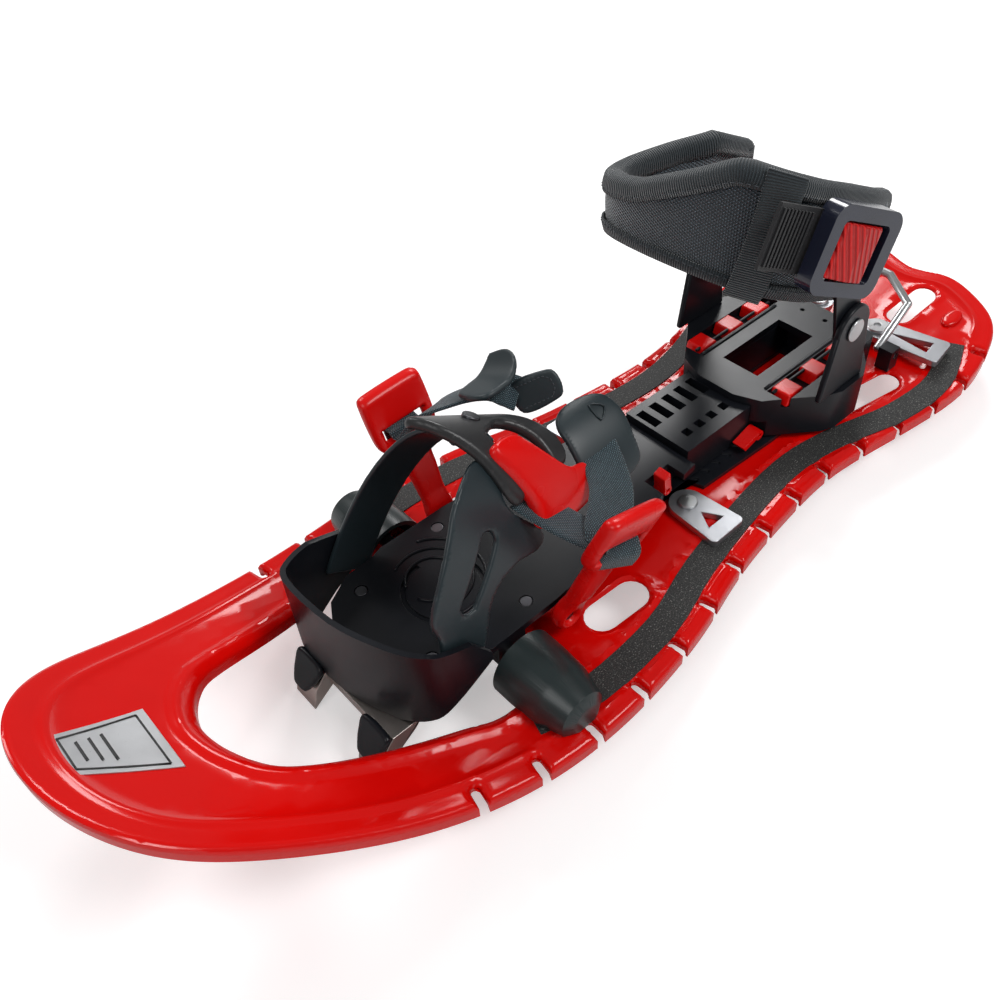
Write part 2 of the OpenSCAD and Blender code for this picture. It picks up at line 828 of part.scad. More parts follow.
deck_shell();
flex_stripe(1);  // flex_stripe_left
flex_stripe(-1);  // flex_stripe_right
nose_badge();
deck_pad();
pivot_axle();
pivot_cover(1);  // pivot_cover_left
mirror([0, 1, 0]) pivot_cover(1);  // pivot_cover_right
front_bracket();  // front_bracket_left
mirror([0, 1, 0]) front_bracket();  // front_bracket_right
rear_bracket();  // rear_bracket_left
mirror([0, 1, 0]) rear_bracket();  // rear_bracket_right
bracket_rivets();
deck_spikes();
bail_clips();
toe_plate();
toe_cup();
toe_claw();
toe_screws();
rail();
strap_arm(1);  // strap_arm_left
strap_arm(-1);  // strap_arm_right
hoop_plate();
arm_bolt();
lever_pin();
strap_saddle();
instep_pad();
webbing(1);  // webbing_left
webbing(-1);  // webbing_right
loop_rivets();
strap_loop(-16);  // loop_left
mirror([0, 1, 0]) strap_loop(4);  // loop_right
toe_lever();
rail_latch();
heel_plate();
heel_grips();
upright(1);  // upright_left
mirror([0, 1, 0]) upright(1);  // upright_right
heel_latch();
cuff_pins();
cuff_arm(1);  // cuff_arm_left
mirror([0, 1, 0]) cuff_arm(1);  // cuff_arm_right
cuff_pad();
ladder_strap();
ratchet_frame();
ratchet_pin();
ratchet_button();
heel_bail();
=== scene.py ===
"""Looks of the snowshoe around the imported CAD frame. Lengths are millimetres until a mesh is made."""
import json
import math

import bmesh
import bpy
import numpy as np
from mathutils import Matrix, Vector
from mathutils.geometry import delaunay_2d_cdt


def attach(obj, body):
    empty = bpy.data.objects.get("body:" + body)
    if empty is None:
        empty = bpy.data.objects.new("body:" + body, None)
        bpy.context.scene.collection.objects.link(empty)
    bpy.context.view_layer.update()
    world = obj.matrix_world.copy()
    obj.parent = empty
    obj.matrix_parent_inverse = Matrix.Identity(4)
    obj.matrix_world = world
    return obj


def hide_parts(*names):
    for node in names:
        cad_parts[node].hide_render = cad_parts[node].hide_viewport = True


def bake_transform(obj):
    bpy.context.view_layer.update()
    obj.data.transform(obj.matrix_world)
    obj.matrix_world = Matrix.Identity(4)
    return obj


MM = 0.001
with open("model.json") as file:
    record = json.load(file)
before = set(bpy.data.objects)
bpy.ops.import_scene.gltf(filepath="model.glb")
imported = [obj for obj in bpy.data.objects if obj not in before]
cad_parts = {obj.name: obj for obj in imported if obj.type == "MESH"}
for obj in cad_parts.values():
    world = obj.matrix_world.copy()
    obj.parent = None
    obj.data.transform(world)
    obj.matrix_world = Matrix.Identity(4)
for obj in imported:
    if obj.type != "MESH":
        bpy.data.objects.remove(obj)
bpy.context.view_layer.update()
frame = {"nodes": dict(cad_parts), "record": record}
nodes = frame["nodes"]
body_of = {n: b for b, names in frame["record"]["behaviour"]["bodies"].items() for n in names}


# ---------------------------------------------------------------- materials
M = {}      # finished materials by name


class Shader:
    """A node material with short calls for the nodes used here."""

    def __init__(self, name):
        self.name = name
        self.mat = bpy.data.materials.new(name)
        self.mat.use_nodes = True
        self.tree = self.mat.node_tree
        self.bsdf = self.tree.nodes["Principled BSDF"]
        self.coord = self.add("ShaderNodeTexCoord")

    def add(self, kind, **settings):
        node = self.tree.nodes.new(kind)
        for key, value in settings.items():
            setattr(node, key, value)
        return node

    def put(self, socket, value):
        if hasattr(value, "is_output"):
            self.tree.links.new(value, socket)
        else:
            socket.default_value = value

    def noise(self, scale, detail, stretch=None):
        node = self.add("ShaderNodeTexNoise")
        vector = self.coord.outputs["Object"]
        if stretch:
            mapping = self.add("ShaderNodeMapping")
            mapping.inputs["Scale"].default_value = stretch
            self.put(mapping.inputs["Vector"], vector)
            vector = mapping.outputs["Vector"]
        self.put(node.inputs["Vector"], vector)
        self.put(node.inputs["Scale"], scale)
        self.put(node.inputs["Detail"], detail)
        return node.outputs["Fac"]

    def math(self, operation, a, b=0.0):
        node = self.add("ShaderNodeMath", operation=operation)
        self.put(node.inputs[0], a)
        self.put(node.inputs[1], b)
        return node.outputs[0]

    def ramp(self, fac, stops):
        node = self.add("ShaderNodeValToRGB")
        elements = node.color_ramp.elements
        while len(elements) < len(stops):
            elements.new(0.5)
        for element, (place, colour) in zip(elements, stops):
            element.position = place
            element.color = (*colour, 1)
        self.put(node.inputs["Fac"], fac)
        return node.outputs["Color"]

    def between(self, fac, low, high):
        node = self.add("ShaderNodeMapRange")
        self.put(node.inputs["Value"], fac)
        self.put(node.inputs["To Min"], low)
        self.put(node.inputs["To Max"], high)
        return node.outputs["Result"]

    def bump(self, height, strength, distance, under=None):
        node = self.add("ShaderNodeBump")
        self.put(node.inputs["Height"], height)
        self.put(node.inputs["Strength"], strength)
        self.put(node.inputs["Distance"], distance)
        if under is not None:
            self.put(node.inputs["Normal"], under)
        return node.outputs["Normal"]

    def uv(self):
        split = self.add("ShaderNodeSeparateXYZ")
        self.put(split.inputs[0], self.coord.outputs["UV"])
        return split.outputs[0], split.outputs[1]

    def finish(self, colour, rough, normal=None, **extra):
        self.put(self.bsdf.inputs["Base Color"], colour)
        self.put(self.bsdf.inputs["Roughness"], rough)
        if normal is not None:
            self.put(self.bsdf.inputs["Normal"], normal)
        for key, value in extra.items():
            self.put(self.bsdf.inputs[key.replace("_", " ")], value)
        M[self.name] = self.mat


def shade(colour, factor):
    return tuple(c * factor for c in colour)


def plastic(name, colour, rough, grain=2600, grain_strength=0.1, vary=0.16, coat=0.0, spec=0.5,
            wear=0.35):
    """Moulded plastic: mottled colour, fine mould grain, rubbed patches and a worn lighter edge."""
    s = Shader(name)
    cloud = s.noise(28, 3)
    worn = s.noise(160, 6)
    base = s.ramp(cloud, [(0.25, shade(colour, 1 - vary)), (0.75, shade(colour, 1 + vary))])
    geometry = s.add("ShaderNodeNewGeometry")
    edge = s.between(s.math("MULTIPLY", geometry.outputs["Pointiness"], worn), 0.0, 0.35)
    mix = s.add("ShaderNodeMix", data_type="RGBA")
    s.put(mix.inputs[0], s.math("MULTIPLY", edge, wear))
    s.put(mix.inputs[6], base)
    s.put(mix.inputs[7], (*[min(c * 1.5 + 0.03, 1) for c in colour], 1))
    normal = s.bump(s.noise(grain, 2), grain_strength, 0.0001)
    s.finish(mix.outputs[2], s.between(s.noise(55, 2), rough - 0.03, rough + 0.05), normal,
             Coat_Weight=coat, Coat_Roughness=0.08, Specular_IOR_Level=spec)


def ribbed_plastic(name, colour, rough, pitch):
    """Moulded plastic with finger ribs across it; the grooves between the ribs are painted darker, as
    painted shade.
    """
    s = Shader(name)
    split = s.add("ShaderNodeSeparateXYZ")
    s.put(split.inputs[0], s.coord.outputs["Object"])
    rib = s.math("SINE", s.math("MULTIPLY", split.outputs[0], 2 * math.pi / (pitch * MM)))
    # painted shade: the red darkens to 0.7 in the grooves between the ribs, following the same sine as
    # the bump
    base = s.ramp(rib, [(0.0, shade(colour, 0.7)), (0.6, colour)])
    normal = s.bump(rib, 0.9, 0.0007, s.bump(s.noise(1800, 2), 0.1, 0.0001))
    s.finish(base, s.between(s.noise(90, 3), rough - 0.04, rough + 0.08), normal)


def metal(name, colour, rough, stretch=(1, 1, 1), grain=900):
    """Bare metal with a drawn or brushed grain and a few darker stains."""
    s = Shader(name)
    lines = s.noise(grain, 4, stretch=stretch)
    stain = s.noise(45, 5)
    base = s.ramp(stain, [(0.3, shade(colour, 0.8)), (0.7, colour)])
    normal = s.bump(lines, 0.12, 0.0001)
    s.finish(base, s.between(lines, rough - 0.08, rough + 0.12), normal, Metallic=1.0)


def weave_height(s, pitch_u, pitch_v):
    """Plain weave from the strip's own millimetre coordinates."""
    u, v = s.uv()
    wave_u = s.math("SINE", s.math("MULTIPLY", u, 2 * math.pi / pitch_u))
    wave_v = s.math("SINE", s.math("MULTIPLY", v, 2 * math.pi / pitch_v))
    return s.math("MULTIPLY", wave_u, wave_v)


def woven(name, dark, light, pitch_u, pitch_v, rough=0.7, depth=0.0004, sheen=0.3, cover=0.55):
    """Cloth or webbing: threads that cross, painted lighter on the raised threads and darker in the
    hollows of the weave (painted highlight and painted shade), broken into fine random flecks.
    """
    s = Shader(name)
    height = weave_height(s, pitch_u, pitch_v)
    # painted highlight and painted shade: the colour follows the weave height, light on raised threads
    # and dark between them
    fleck = s.math("MULTIPLY", s.between(height, -0.4, 1.3), s.noise(2400, 2))
    base = s.ramp(fleck, [(cover * 0.55, dark), (cover, light)])
    cloudy = s.add("ShaderNodeMix", data_type="RGBA", blend_type="MULTIPLY")
    s.put(cloudy.inputs[0], 0.5)
    s.put(cloudy.inputs[6], base)
    s.put(cloudy.inputs[7], s.ramp(s.noise(60, 3), [(0.3, (0.6, 0.6, 0.6)), (0.7, (1, 1, 1))]))
    normal = s.bump(height, 0.7, depth, s.bump(s.noise(1500, 3), 0.3, 0.0002))
    s.finish(cloudy.outputs[2], rough, normal, Sheen_Weight=sheen, Sheen_Roughness=0.4)


def ribbed(name, dark, light, pitch, rough=0.75):
    """Grosgrain tape: close ribs across the tape, painted lighter on the rib crests and darker in the
    grooves (painted highlight and painted shade).
    """
    s = Shader(name)
    u, v = s.uv()
    rib = s.math("SINE", s.math("MULTIPLY", u, 2 * math.pi / pitch))
    # painted highlight and painted shade: the colour follows the rib sine, light on the crests and dark
    # in the grooves, broken by fine noise
    thread = s.math("MULTIPLY", s.between(rib, 0.0, 1.0), s.between(s.noise(1800, 3), 0.4, 1.0))
    base = s.ramp(thread, [(0.25, dark), (0.85, light)])
    normal = s.bump(rib, 0.8, 0.0004, s.bump(s.noise(1800, 3), 0.4, 0.0002))
    s.finish(base, rough, normal, Sheen_Weight=0.4, Sheen_Roughness=0.4)


def speckled(name):
    """Grip strip: near black with mineral speckle and a rough skin."""
    s = Shader(name)
    fleck = s.noise(1500, 3)
    base = s.ramp(fleck, [(0.45, (0.012, 0.012, 0.012)), (0.62, (0.05, 0.05, 0.048)),
                          (0.72, (0.3, 0.3, 0.28))])
    s.finish(base, s.between(fleck, 0.55, 0.8), s.bump(fleck, 0.6, 0.0003))


RED = (0.74, 0.003, 0.002)
plastic("deck_red", (0.7, 0.002, 0.0008), 0.15, grain=1800, grain_strength=0.01, vary=0.04,
        coat=0.04, spec=0.32, wear=0.05)
plastic("red_plastic", RED, 0.26, grain=2200, grain_strength=0.04, vary=0.08, spec=0.34, wear=0.15)
plastic("black_plastic", (0.006, 0.007, 0.01), 0.3, grain_strength=0.06, vary=0.25, spec=0.26,
        wear=0.5)
plastic("slate_plastic", (0.017, 0.027, 0.032), 0.33, grain_strength=0.06, vary=0.14, spec=0.45,
        wear=0.5)
plastic("grey_plastic", (0.022, 0.022, 0.023), 0.34, grain_strength=0.14, vary=0.12, spec=0.45,
        wear=0.5)
plastic("indigo_plastic", (0.014, 0.017, 0.034), 0.15, grain_strength=0.03, vary=0.15, coat=0.3,
        wear=0.5)
plastic("slate_rubber", (0.014, 0.023, 0.024), 0.3, grain=1500, grain_strength=0.06, vary=0.18)
plastic("pad_rubber", (0.016, 0.027, 0.032), 0.42, grain=1900)
ribbed_plastic("red_ribbed", RED, 0.3, pitch=3.0)
metal("dark_steel", (0.12, 0.12, 0.13), 0.3)
plastic("ink_black", (0.01, 0.01, 0.011), 0.4, vary=0.3)
metal("steel", (0.62, 0.63, 0.64), 0.3)
metal("cast_alu", (0.56, 0.57, 0.6), 0.38, grain=500)
metal("badge_alu", (0.75, 0.76, 0.78), 0.3, stretch=(0.3, 14, 1), grain=700)
metal("claw_steel", (0.52, 0.47, 0.44), 0.32)
speckled("grip_black")
woven("webbing", (0.01, 0.028, 0.037), (0.24, 0.37, 0.43), pitch_u=1.5, pitch_v=1.1, cover=0.5)
woven("cuff_mesh", (0.014, 0.023, 0.032), (0.17, 0.23, 0.29), pitch_u=2.3, pitch_v=1.7, rough=0.4,
      depth=0.0006, sheen=0.5)
ribbed("tape", (0.008, 0.014, 0.018), (0.045, 0.062, 0.075), pitch=1.2)
ribbed("thread", (0.05, 0.06, 0.07), (0.2, 0.23, 0.25), pitch=0.6)
ribbed("ladder", (0.008, 0.008, 0.01), (0.03, 0.032, 0.036), pitch=2.4, rough=0.5)


# ---------------------------------------------------------------- mesh helpers
WELD = 0.00002        # metres
FLAT_ANGLE = 0.6      # degrees; CAD triangles flatter than this are joined into one face
EDGE_ANGLE = 32       # degrees; edges sharper than this are rounded


def unit2(v):
    """Vectors scaled to length one along the last axis."""
    return v / np.maximum(np.linalg.norm(v, axis=-1, keepdims=True), 1e-9)


def run_along(points):
    """Distance along a polyline at each of its points."""
    return np.concatenate([[0], np.cumsum(np.linalg.norm(np.diff(points, axis=0), axis=1))])


def point_at(points, run, distance_along):
    """The point of a polyline at a distance along it."""
    return np.array([np.interp(distance_along, run, values) for values in np.transpose(points)])


def spline(points, steps, closed=False):
    """Catmull-Rom curve through the points."""
    p = np.array(points, float)
    k = len(p)
    out = []
    for i in range(k if closed else k - 1):
        if closed:
            a, b, c, d = p[i - 1], p[i], p[(i + 1) % k], p[(i + 2) % k]
        else:
            a, b, c, d = p[max(i - 1, 0)], p[i], p[i + 1], p[min(i + 2, k - 1)]
        for j in range(steps):
            t = j / steps
            out.append(0.5 * (2 * b + (c - a) * t + (2 * a - 5 * b + 4 * c - d) * t * t
                              + (3 * b - a - 3 * c + d) * t ** 3))
    if not closed:
        out.append(p[-1])
    return np.array(out)


def put_in_scene(name, data):
    """A new object for a mesh, light or camera."""
    obj = bpy.data.objects.new(name, data)
    bpy.context.scene.collection.objects.link(obj)
    return obj


def smooth_faces(mesh):
    mesh.polygons.foreach_set("use_smooth", [True] * len(mesh.polygons))


def make(name, verts, faces, material, body, uvs=None):
    """A new piece from millimetre vertices. uvs holds one millimetre pair per vertex."""
    mesh = bpy.data.meshes.new(name)
    mesh.from_pydata([tuple(np.array(v) * MM) for v in verts], [], [tuple(f) for f in faces])
    if uvs is not None:
        layer = mesh.uv_layers.new(name="UVMap")
        for loop in mesh.loops:
            layer.data[loop.index].uv = uvs[loop.vertex_index]
    work = bmesh.new()
    work.from_mesh(mesh)
    bmesh.ops.recalc_face_normals(work, faces=work.faces)
    work.to_mesh(mesh)
    work.free()
    smooth_faces(mesh)
    mesh.materials.append(M[material])
    obj = put_in_scene(name, mesh)
    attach(obj, body)
    return obj


def modifier(obj, kind, **settings):
    m = obj.modifiers.new(kind.title(), kind)
    for key, value in settings.items():
        setattr(m, key, value)
    return m


def apply_modifiers(obj):
    graph = bpy.context.evaluated_depsgraph_get()
    mesh = bpy.data.meshes.new_from_object(obj.evaluated_get(graph))
    obj.modifiers.clear()
    obj.data = mesh


def cad_mesh(node, join_flat):
    """A CAD node's mesh with its doubled vertices welded and, if asked, its flat faces joined."""
    mesh = nodes[node].data.copy()
    work = bmesh.new()
    work.from_mesh(mesh)
    bmesh.ops.remove_doubles(work, verts=work.verts, dist=WELD)
    if join_flat:
        bmesh.ops.dissolve_limit(work, angle_limit=math.radians(FLAT_ANGLE), verts=work.verts,
                                 edges=work.edges)
    work.to_mesh(mesh)
    work.free()
    if mesh.attributes.get("custom_normal"):
        mesh.attributes.remove(mesh.attributes["custom_normal"])
    return mesh


def hard(node, material, width):
    """A cleaned copy of a CAD node with edges rounded to a width, in the same place."""
    mesh = cad_mesh(node, join_flat=True)
    smooth_faces(mesh)
    mesh.materials.clear()
    mesh.materials.append(M[material])
    obj = put_in_scene(node + "_shape", mesh)
    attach(obj, body_of[node])
    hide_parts(node)
    if width > 0:
        modifier(obj, "BEVEL", width=width * MM, segments=3 if width > 1 else 2,
                 limit_method="ANGLE", angle_limit=math.radians(EDGE_ANGLE),
                 use_clamp_overlap=True, harden_normals=False)
        modifier(obj, "WEIGHTED_NORMAL", keep_sharp=False, weight=60)
    return obj


def sweep(name, path, section, material, body, closed=False, up=(0, 0, 1)):
    """Carries a closed 2-D section (across, up) along a 3-D path; uvs run in millimetres."""
    path = np.array(path, float)
    k = len(path)
    section = np.array(section, float)
    ahead = np.roll(path, -1, 0) - np.roll(path, 1, 0)
    if not closed:
        ahead[0] = path[1] - path[0]
        ahead[-1] = path[-1] - path[-2]
    ahead = unit2(ahead)
    ups = np.array([up(i) if callable(up) else up for i in range(k)], float)
    side = unit2(np.cross(ahead, ups))
    top = np.cross(side, ahead)
    lengths = run_along(path)
    around = run_along(section)
    verts, uvs, faces = [], [], []
    n = len(section)
    for i in range(k):
        for j, (a, b) in enumerate(section):
            verts.append(path[i] + side[i] * a + top[i] * b)
            uvs.append((lengths[i], around[j]))
    for i in range(k if closed else k - 1):
        for j in range(n):
            a, b = i * n + j, i * n + (j + 1) % n
            c, d = ((i + 1) % k) * n + (j + 1) % n, ((i + 1) % k) * n + j
            faces.append((a, b, c, d))
    if not closed:
        faces.append(tuple(range(n)))
        faces.append(tuple(range((k - 1) * n, k * n)))
    return make(name, verts, faces, material, body, uvs)


def flat_section(width, thick, rows=8, edge=0.5):
    """Cross-section of a strap: flat faces with rounded selvedges."""
    w, t = width / 2, thick / 2
    xs = np.linspace(-w + edge, w - edge, rows)
    top = [(x, t) for x in xs]
    low = [(x, -t) for x in xs[::-1]]
    right = [(w - edge * 0.2, t * 0.6), (w, 0), (w - edge * 0.2, -t * 0.6)]
    left = [(-w + edge * 0.2, -t * 0.6), (-w, 0), (-w + edge * 0.2, t * 0.6)]
    return top + right + low + left


def round_line(radius, count=8):
    """Cross-section of a thin cord."""
    return [(radius * math.cos(2 * math.pi * i / count), radius * math.sin(2 * math.pi * i / count))
            for i in range(count)]


# ---------------------------------------------------------------- flat outlines
def both_sides(half):
    """A closed outline from its left half."""
    return list(half) + [(x, -y) for x, y in half[::-1] if abs(y) > 0.01]


def inside(points, loop):
    """Which points lie inside a closed loop."""
    x, y = points[:, 0][:, None], points[:, 1][:, None]
    a, b = loop, np.roll(loop, -1, 0)
    crosses = (a[None, :, 1] > y) != (b[None, :, 1] > y)
    where = (b[:, 0] - a[:, 0]) * (y - a[:, 1]) / np.where(b[:, 1] == a[:, 1], 1, b[:, 1] - a[:, 1])
    return (np.sum(crosses & (x < where + a[:, 0]), axis=1) % 2) == 1


def distance(points, loop, closed=True):
    """Shortest distance from each point to a polyline."""
    a = loop if closed else loop[:-1]
    b = np.roll(loop, -1, 0) if closed else loop[1:]
    d = b - a
    best = np.full(len(points), 1e9)
    for p, q in zip(a, d):
        t = np.clip(((points - p) @ q) / max(q @ q, 1e-9), 0, 1)
        best = np.minimum(best, np.linalg.norm(points - (p + t[:, None] * q), axis=1))
    return best


def pill(a, b, r, n=9):
    """Outline of a long hole from a to b with round ends of n steps."""
    a, b = np.array(a, float), np.array(b, float)
    angle = math.atan2(*(b - a)[::-1])
    ends = []
    for centre, start in ((b, angle - math.pi / 2), (a, angle + math.pi / 2)):
        for i in range(n + 1):
            t = start + math.pi * i / n
            ends.append(centre + r * np.array([math.cos(t), math.sin(t)]))
    return np.array(ends)


def bump_at(d, centre, half, height):
    """Height of a round ridge that runs at a distance from an edge."""
    t = np.clip(np.abs(d - centre) / half, 0, 1)
    return height * (0.5 + 0.5 * np.cos(math.pi * t))


def offset_loop(loop, d):
    """A closed loop moved sideways by a distance."""
    ahead = unit2(np.roll(loop, -1, 0) - np.roll(loop, 1, 0))
    return loop + d * np.stack([-ahead[:, 1], ahead[:, 0]], 1)


def resample(loop, step):
    """Even points along a closed loop."""
    closed = np.vstack([loop, loop[:1]])
    run = run_along(closed)
    count = int(run[-1] / step)
    at = np.linspace(0, run[-1], count, endpoint=False)
    return np.stack([np.interp(at, run, closed[:, i]) for i in (0, 1)], 1)


def area(loop):
    """Area of a closed loop, positive when it runs anticlockwise."""
    n = np.roll(loop, -1, 0)
    return 0.5 * float(np.sum(loop[:, 0] * n[:, 1] - n[:, 0] * loop[:, 1]))


def joined(loops):
    """The points of some closed loops and the edges along them, numbered together."""
    points, edges = [], []
    for loop in loops:
        base = len(points)
        points += [tuple(p) for p in loop]
        edges += [(base + i, base + (i + 1) % len(loop)) for i in range(len(loop))]
    return points, edges


def rings(loop, steps, inward):
    """Copies of a closed loop, each moved inwards or outwards by a step."""
    turn = 1 if (area(loop) > 0) == inward else -1
    return [offset_loop(loop, d * turn) for d in steps]


def triangulated(points, edges, outer, openings):
    """Fills the flat region inside outer and outside the openings with triangles."""
    flat, _, faces, _, _, _ = delaunay_2d_cdt([Vector(p) for p in points], edges, [], 0, 1e-5)
    flat = np.array([tuple(p) for p in flat])
    centres = np.array([flat[list(f)].mean(0) for f in faces])
    good = inside(centres, outer)
    for hole in openings:
        good &= ~inside(centres, hole)
    return flat, [tuple(f) for f, g in zip(faces, good) if g]


def relaxed(loop, rounds):
    """Rounds off the corners of a closed loop."""
    for _ in range(rounds):
        loop = 0.5 * loop + 0.25 * (np.roll(loop, 1, 0) + np.roll(loop, -1, 0))
    return loop


# ---------------------------------------------------------------- deck
DECK_Z = 24.0
HALF_LENGTH = 295.0
NOSE_FROM, NOSE_RISE = 117.0, 85.0
TAIL_FROM, TAIL_RISE = -132.0, 13.5
HALF_OUTLINE = [(295, 0), (291, 25), (278, 45), (263, 55), (186, 83), (109, 95.5), (41, 90),
                (-11, 77), (-84, 69), (-118, 71.5), (-204, 85), (-241, 80), (-271, 70),
                (-286, 42), (-295, 20), (-279, 0)]
HALF_OPENING = [(237, 0), (229, 22), (211, 34.5), (155, 52), (139, 58), (121, 59), (116, 53),
                (112, 47.5), (99, 47.5), (99, 0)]
STRIPE_LINE = [(128, 70), (97, 77), (50, 75), (9, 64), (-46, 54.5), (-84, 52), (-118, 57),
               (-160, 69), (-200, 72), (-234, 60)]
LONG_HOLES = [((46, 52), (66, 51), 8.5), ((-139, 42), (-180, 50), 7), ((-238, 21), (-264, 22), 7.5)]
NOTCHES_PER_SIDE = 15
NOTCH_FIRST, NOTCH_PITCH = 170, 29.3
NOTCH_HALF_WIDTH, NOTCH_REACH = 2.2, 7.5
RIM_ROUND, LIP_ROUND, HOLE_ROUND = 3.2, 1.6, 1.0
RIM_DROPS = (4.4, 6.5, 9.0)
LIP_DROPS = (2.6, 4.5, 7.0)
NOTCH_DROP_SHARE = 0.62
SKIN = 1.4


def rocker(x):
    """How far the nose and the tail rise above the flat middle of the deck."""
    x = np.asarray(x, float)
    nose = NOSE_RISE * ((x - NOSE_FROM) / (HALF_LENGTH - NOSE_FROM)) ** 2
    tail = TAIL_RISE * ((TAIL_FROM - x) / (HALF_LENGTH + TAIL_FROM)) ** 2
    return np.where(x > NOSE_FROM, nose, np.where(x < TAIL_FROM, tail, 0))


def with_notches(loop):
    """The outline with the row of narrow slots that run in from each side of the rim."""
    run = run_along(np.vstack([loop, loop[:1]]))
    w, reach = NOTCH_HALF_WIDTH, NOTCH_REACH
    found = []
    for i in range(NOTCHES_PER_SIDE):
        for sign in (1, -1):
            side = np.where(loop[:, 1] * sign > 0)[0]
            found.append(side[np.argmin(np.abs(loop[side, 0] - (NOTCH_FIRST - i * NOTCH_PITCH)))])
    down = [(-w, reach * share) for share in (0, 0.25, 0.5, 0.8)]
    end = [(-w * math.cos(q), reach + w * math.sin(q)) for q in np.linspace(0, math.pi, 7)]
    path = down + end + [(-u, v) for u, v in down[::-1]]
    inward = 1 if area(loop) > 0 else -1
    parts = [(run[j], loop[j]) for j in range(len(loop))
             if all(abs(run[j] - run[k]) > w + 0.7 for k in found)]
    for k in found:
        t = unit2(loop[(k + 1) % len(loop)] - loop[k - 1])
        n = inward * np.array([-t[1], t[0]])
        for j, (u, v) in enumerate(path):
            parts.append((run[k] + (j / (len(path) - 1) - 0.5) * 2 * w, loop[k] + t * u + n * v))
    parts.sort(key=lambda q: q[0])
    return np.array([q[1] for q in parts])


rim_line = relaxed(resample(spline(both_sides(HALF_OUTLINE), 10, True), 1.75), 130)
plain_outline = resample(rim_line, 3.5)
outline = with_notches(rim_line)
opening = resample(spline(both_sides(HALF_OPENING), 6, True), 3.0)
holes = [pill((a[0], a[1] * side), (b[0], b[1] * side), r)
         for side in (1, -1) for a, b, r in LONG_HOLES]
stripe = spline(STRIPE_LINE, 6)


def rounded_off(d, radius):
    """How far a rounded edge lies below the skin, at a distance from the edge."""
    return np.where(d < radius, radius - np.sqrt(np.maximum(radius ** 2 - (radius - d) ** 2, 0)), 0)


def deck_height(p):
    """Height of the deck's top skin: rounded rim, rolled lip round the opening, long ribs."""
    d = distance(p, outline)
    d[~inside(p, outline)] = 0
    lip = distance(p, opening)
    near_stripe = np.minimum(distance(p, stripe, False),
                             distance(p, stripe * np.array([1, -1]), False))
    h = -rounded_off(d, RIM_ROUND)
    rim_rib = bump_at(distance(p, plain_outline), 12.2, 3.2, 1.3)
    h += rim_rib * np.clip((near_stripe - 12) / 5, 0, 1)
    h -= rounded_off(lip, LIP_ROUND)
    h += bump_at(lip, 5.0, 5.0, 2.4) * np.clip((p[:, 0] - 96) / 14, 0, 1)
    for hole in holes:
        e = distance(p, hole)
        h -= rounded_off(e, HOLE_ROUND)
        h += bump_at(e, 2.6, 1.8, 0.6)
    h += bump_at(near_stripe, 10.4, 2.0, 0.8)
    return h


def deck_points():
    """Loose points that carry the relief: rings along edges, rows along stripes, a grid."""
    loose = []
    edge_steps = (0.5, 1.3, 2.4, 3.4)
    for d, ring in zip(edge_steps, rings(outline, edge_steps, True)):
        loose.append(ring[distance(ring, outline) > d * 0.9])
    loose += rings(plain_outline, (5.0, 6.5, 8.0, 9.6, 10.9, 12.2, 13.5, 15.0), True)
    loose += rings(opening, (0.4, 1.0, 1.8, 3.2, 5.0, 6.8, 8.5, 10.2), False)
    for hole in holes:
        loose += rings(hole, (0.4, 1.0, 2.6, 4.2), False)
    ahead = unit2(np.gradient(stripe, axis=0))
    away = np.stack([-ahead[:, 1], ahead[:, 0]], 1)
    for sign in (1, -1):
        for d in (-11.8, -10.2, -8.6, -7.4, 7.4, 8.6, 10.2, 11.8):
            loose.append((stripe + d * away) * np.array([1, sign]))
    pitch = 5.0
    xs = np.arange(-292, 294, pitch)
    ys = np.arange(-94, 95, pitch)
    grid = np.array([(x + (pitch / 2 if j % 2 else 0), y) for j, y in enumerate(ys) for x in xs])
    loose.append(grid[distance(grid, plain_outline) > 16])
    loose = np.vstack(loose)
    ok = inside(loose, outline) & (distance(loose, outline) > 0.35)
    for hole in [opening] + holes:
        ok &= ~inside(loose, hole) & (distance(loose, hole) > 0.3)
    cell = 0.9
    cells = {}
    for p in loose[ok]:
        cells.setdefault((round(p[0] / cell), round(p[1] / cell)), tuple(p))
    return list(cells.values())


def pull_skirt(work, edges, drops, notched):
    """Pulls a skirt down from boundary edges, less deep inside the notches."""
    for drop in drops:
        made = bmesh.ops.extrude_edge_only(work, edges=edges)["geom"]
        new = [g for g in made if isinstance(g, bmesh.types.BMVert)]
        here = np.array([tuple(v.co / MM) for v in new])[:, :2]
        in_notch = (distance(here, plain_outline) > 1.2) & notched
        for v, x, share in zip(new, here[:, 0], np.where(in_notch, NOTCH_DROP_SHARE, 1)):
            v.co.z = (DECK_Z + float(rocker(x)) - drop * share) * MM
        edges = [g for g in made if isinstance(g, bmesh.types.BMEdge)]


